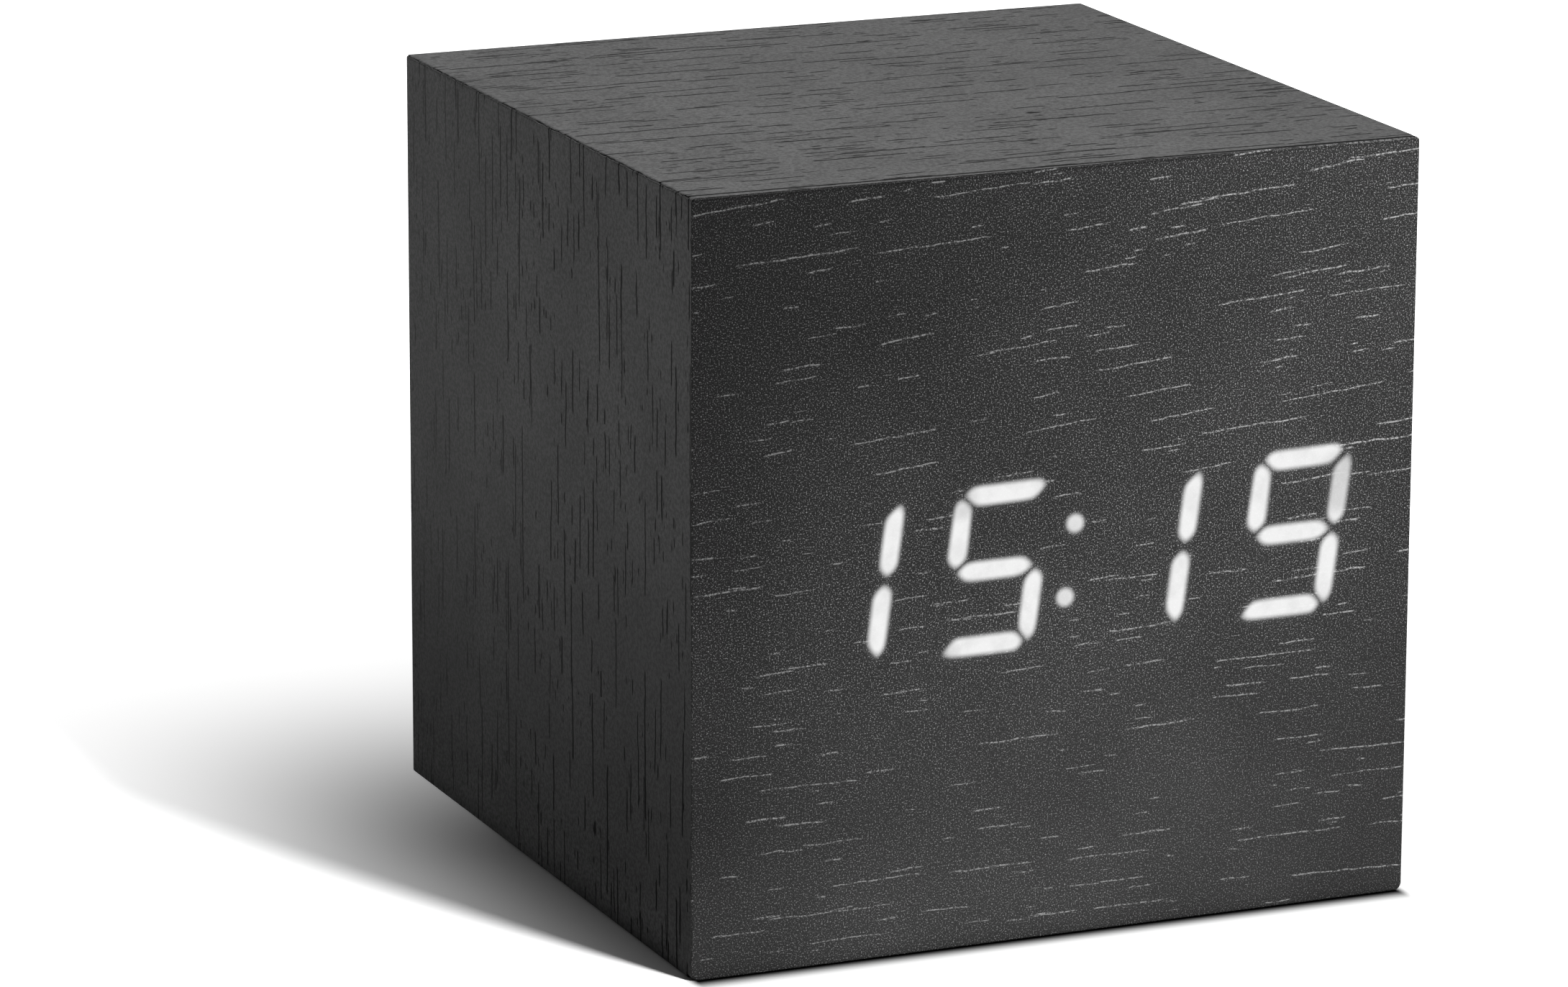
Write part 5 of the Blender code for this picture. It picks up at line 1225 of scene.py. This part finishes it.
plunger_black = moulded("plunger_black", (0.025, 0.025, 0.026), 0.4, 4.0, 0.00001)
button_black = moulded("button_black", BUTTON_BLACK, 0.46, 6.0, 0.000012)
for which in ("set", "up", "down"):
    middle = middle_of(f"button_{which}")
    body = f"{which}_button"
    shell = layered(f"switch_shell_{which}", middle, eased(SWITCH_ROWS, 0.08), switch_skin(middle))
    fit(shell, "case", f"push_switch_{which}")
    plunger = turned(f"plunger_{which}", middle, PLUNGER_PROFILE, plunger_black, soft=0.2)
    fit(plunger, body, f"push_plunger_{which}")
    cap = turned(f"cap_{which}", middle, BUTTON_PROFILE, button_black, arc=20, soft=0.28)
    fit(cap, body, f"button_{which}")


# The slide switch, a folded tinned-steel shell with a black slider whose lever stands out through
# the slot, and the round power socket with its centre pin.

SLIDER_ROWS = (
    (21.6, 0.02, 0.02, 0.01), (21.6, 1.5, 0.9, 0.12), (23.2, 1.5, 0.9, 0.12),
    (23.2, 0.7, 0.6, 0.14), (32.2, 0.7, 0.6, 0.14), (32.2, 0.02, 0.02, 0.01),
)
SOCKET_ROWS = (
    (20.5, 0.02, 0.02, 0.02), (20.5, 3.5, 3.5, 0.35), (28.9, 3.5, 3.5, 0.35),
    (28.9, 3.0, 3.0, 3.0), (30.7, 3.0, 3.0, 3.0), (30.7, 2.25, 2.25, 2.25),
    (30.35, 1.8, 1.8, 1.8), (22.2, 1.8, 1.8, 1.8), (22.2, 0.02, 0.02, 0.02),
)
PIN_PROFILE = ((22.5, 0.02), (22.5, 0.65), (29.5, 0.65), (29.9, 0.3), (29.9, 0.02))

tinned = metal("tinned_steel", (0.62, 0.62, 0.61), 0.3, (0.15, 1, 1))
dress(tinned, "switch_body")
lever = layered("slider_lever", middle_of("switch_slider"), eased(SLIDER_ROWS, 0.14), button_black)
fit(lever, "sound_switch", "switch_slider")

middle = middle_of("power_socket")
socket_black = moulded("socket_black", (0.020, 0.020, 0.021), 0.36, 4.0, 0.000008)
inlet = layered("inlet", middle, eased(SOCKET_ROWS, 0.15), socket_black, arc=14)
fit(inlet, "case", "power_socket")
fit(turned("inlet_pin", middle, PIN_PROFILE, tinned, soft=0.2), "case", "power_socket_pin")


# Three plain AAA cells: a steel can in a printed sleeve that is shrunk over both edges, a flat end,
# and a nub that stands out of an insulating ring. Two point left and one points right.

CELL_AXIS_Y_MM = 23.85
CELL_FLAT_MM = 20.9
TURNED_IN_MM = (0.6, 4.36)
RING_MM = (43.05, 4.3)
NUB_RADIUS_MM = 2.2
PRINT_LINE_MM = 33.4
PALE_FROM_MM = (33.9, 34.0)
SLEEVE_GREEN = (0.012, 0.13, 0.085)
SLEEVE_PALE = (0.60, 0.62, 0.60)
SLEEVE_DIRT = (0.02, 0.03, 0.03)
CELL_STEEL = (0.62, 0.62, 0.61)
RING_GREY = (0.05, 0.05, 0.052)
CELL_PROFILE = (
    (0.0, 0.02), (0.0, 4.15), (0.16, 4.3), (0.06, 4.42), (0.06, 4.75), (0.55, 5.25),
    (42.95, 5.25), (43.44, 4.8), (43.44, 4.5), (43.3, 4.35), (43.12, 4.25), (43.12, 2.3),
    (43.34, 2.1), (43.5, 1.95), (44.35, 1.9), (44.5, 1.7), (44.5, 0.02),
)


def cell_skin(name, middle_z, nub_side):
    """The place along the cell counts from its flat end. The sleeve is green, and pale over the last
    quarter to the nub, with a fine overlap line along it and wrinkles where it turns in."""
    cell = Finish(name, 0.3, specular=0.5)
    along = cell.x * nub_side + CELL_FLAT_MM
    away, off_y, off_z = from_axis(cell.y, cell.z, (CELL_AXIS_Y_MM, middle_z))
    turned_in = (along < TURNED_IN_MM[0]) * (away < TURNED_IN_MM[1])
    past_ring = (along > RING_MM[0]) * (away < RING_MM[1])
    steel = most(turned_in, past_ring * (away < NUB_RADIUS_MM))
    line = ramp(abs(along - PRINT_LINE_MM), 0.12, 0.16, 1.0, 0.0)
    overlap = ramp(abs(off_z), 0.04, 0.08, 1.0, 0.0) * (off_y > 0.0)
    dirt = ramp(noise(cell.here, 3.0, 3.0), 0.3, 0.7, 0.0, 0.14) + overlap * 0.3
    print_colour = mix(most(ramp(along, *PALE_FROM_MM), line), SLEEVE_GREEN, SLEEVE_PALE)
    sleeve_colour = mix(dirt, print_colour, SLEEVE_DIRT)
    ends = mix(steel, RING_GREY, CELL_STEEL)
    cell.drive("Base Color", mix(most(steel, past_ring), sleeve_colour, ends))
    cell.drive("Metallic", steel)
    at_ends = ramp(along, 0.4, 1.6, 1.0, 0.0) + ramp(along, 42.0, 43.2)
    cell.emboss(noise(cell.here, 1.1, 2.0) * at_ends + overlap * 0.5, 0.00006)
    return cell.material


for which, nub_side in ((1, -1), (2, 1), (3, -1)):
    middle_z = middle_of(f"aaa_cell_{which}")[1]
    profile = [(nub_side * (along - CELL_FLAT_MM), radius) for along, radius in CELL_PROFILE]
    skin = cell_skin(f"cell_sleeve_{which}", middle_z, nub_side)
    cell = turned(f"cell_{which}", (CELL_AXIS_Y_MM, middle_z), profile, skin, along="x", arc=20, soft=0.15)
    fit(cell, "case", f"aaa_cell_{which}")


# The cells' contacts: stamped plates of nickelled steel and three conical springs of steel wire,
# and the two soldered leads from the outer plates to the main board.

SPRING_FOOT_MM = 24.2
SPRING_RADII_MM = (3.6, 1.8)
SPRING_RISE_MM = (0.25, 2.75)
SPRING_TURNS = 3
SPRING_STEPS = 200
SPRING_WIRE_MM = 0.23
WIRE_MM = 0.25
LEAD_MM = 0.55
STRIPPED_MM = 1.1
SOLDER_DOME_MM = 0.6
LEAD_BOW_MM = 8.0
LEAD_STEPS = 240
LEADS = (
    ("plus", (-24.7, 14.8, 18.25), (-20.3, 18.3, 54.1), "red", (0.40, 0.02, 0.018)),
    ("minus", (24.7, 14.8, 39.85), (20.3, 18.3, 54.1), "black", (0.02, 0.02, 0.02)),
)

nickel = metal("nickel_plate", (0.66, 0.64, 0.60), 0.28, (1, 0.2, 1))
dress(nickel, "contact_plus", "contact_minus", "contact_link_left", "contact_link_right")


def rod(name, path, radii, material, sides=16):
    """A round rod: circles round the points of a path in mm, square to it. One direction across is
    the x axis less its part along the path, and the other is square to both."""
    ahead = np.gradient(path, axis=0)
    ahead /= np.linalg.norm(ahead, axis=1)[:, None]
    first = np.array((1.0, 0, 0)) - ahead[:, :1] * ahead
    first /= np.linalg.norm(first, axis=1)[:, None]
    second = np.cross(ahead, first)
    angle = np.linspace(0, 2 * math.pi, sides, endpoint=False)[None, :, None]
    out = np.cos(angle) * first[:, None] + np.sin(angle) * second[:, None]
    points = path[:, None] + np.broadcast_to(radii, len(path))[:, None, None] * out
    return tube(name, points / 1000, material)


spring_wire = metal("spring_wire", (0.66, 0.66, 0.65), 0.24)
for which, foot_side in ((1, 1), (2, -1), (3, 1)):
    t = np.linspace(0, 1, SPRING_STEPS)
    turn = math.pi / 2 - 2 * math.pi * SPRING_TURNS * t
    radius = SPRING_RADII_MM[0] + (SPRING_RADII_MM[1] - SPRING_RADII_MM[0]) * t
    rise = SPRING_RISE_MM[0] + (SPRING_RISE_MM[1] - SPRING_RISE_MM[0]) * t
    x = foot_side * (SPRING_FOOT_MM - rise)
    y = CELL_AXIS_Y_MM + radius * np.cos(turn)
    z = middle_of(f"aaa_cell_{which}")[1] + foot_side * radius * np.sin(turn)
    coil = rod(f"coil_{which}", np.stack([x, y, z], 1), SPRING_WIRE_MM, spring_wire, 12)
    fit(coil, "case", f"contact_spring_{which}")


def insulation(name, colour, ends):
    """Soft insulation, bare and tinned within the stripped length of either end."""
    lead = Finish(name, 0.42, specular=0.45)
    near = [places("DISTANCE", lead.here, end, output="Value") for end in ends]
    bare = sums("MINIMUM", *near) < STRIPPED_MM
    skin = noise(lead.here, 2.5, 3.0)
    lead.drive("Base Color", mix(bare, mix(ramp(skin), tinted(colour, 0.75), colour), SOLDER))
    lead.drive("Metallic", bare)
    lead.emboss(skin, 0.00001)
    return lead.material


for which, tab, pad, colour_name, colour in LEADS:
    skin = insulation(f"insulation_{colour_name}", colour, (tab, pad))
    bow = np.array((0, LEAD_BOW_MM, 0))
    path = bezier(tab, tab - bow, pad - bow, pad, LEAD_STEPS)
    step = np.linalg.norm(np.diff(path, axis=0), axis=1)
    run = np.concatenate([[0], np.cumsum(step)])
    from_end = np.minimum(run, run[-1] - run)
    dome = np.sqrt(np.clip(1 - (from_end / SOLDER_DOME_MM) ** 2, 0, 1)) * LEAD_MM
    jacket = LEAD_MM * np.clip((from_end - STRIPPED_MM) / 0.1, 0, 1)
    radii = np.maximum(np.maximum(dome, WIRE_MM), jacket)
    fit(rod(f"wire_{which}", path, radii, skin), "case", f"lead_{which}")


# The back: a panel moulded in black plastic with a spark-eroded skin, the cell tray and the screw
# bosses on its inside, and a door of the same plastic that tilts on two tabs.

PANEL_BLACK = (0.024, 0.024, 0.025)
MOULD_RADIUS = 0.00010


def softened(name, node, material):
    """A copy of a piece of the frame with its loose triangles merged and its flat faces made whole,
    and a narrow rounding on its sharp edges, as a mould leaves them."""
    data = nodes[node].data.copy()
    shape = bmesh.new()
    shape.from_mesh(data)
    bmesh.ops.remove_doubles(shape, verts=shape.verts, dist=2e-6)
    bmesh.ops.dissolve_limit(shape, angle_limit=math.radians(1.0), verts=shape.verts, edges=shape.edges)
    shape.to_mesh(data)
    shape.free()
    smooth(data, SHARP)
    data.materials.clear()
    data.materials.append(material)
    made = stand(name, data)
    rounding = made.modifiers.new("rounding", "BEVEL")
    rounding.width = MOULD_RADIUS
    rounding.segments = 2
    rounding.limit_method = "ANGLE"
    rounding.angle_limit = math.radians(40)
    return made


spark_black = moulded("spark_black", PANEL_BLACK, 0.5, 6.0, 0.00003)
fit(softened("panel_moulding", "back_panel", spark_black), "case", "back_panel")
fit(softened("door_moulding", "battery_door", spark_black), "door", "battery_door")
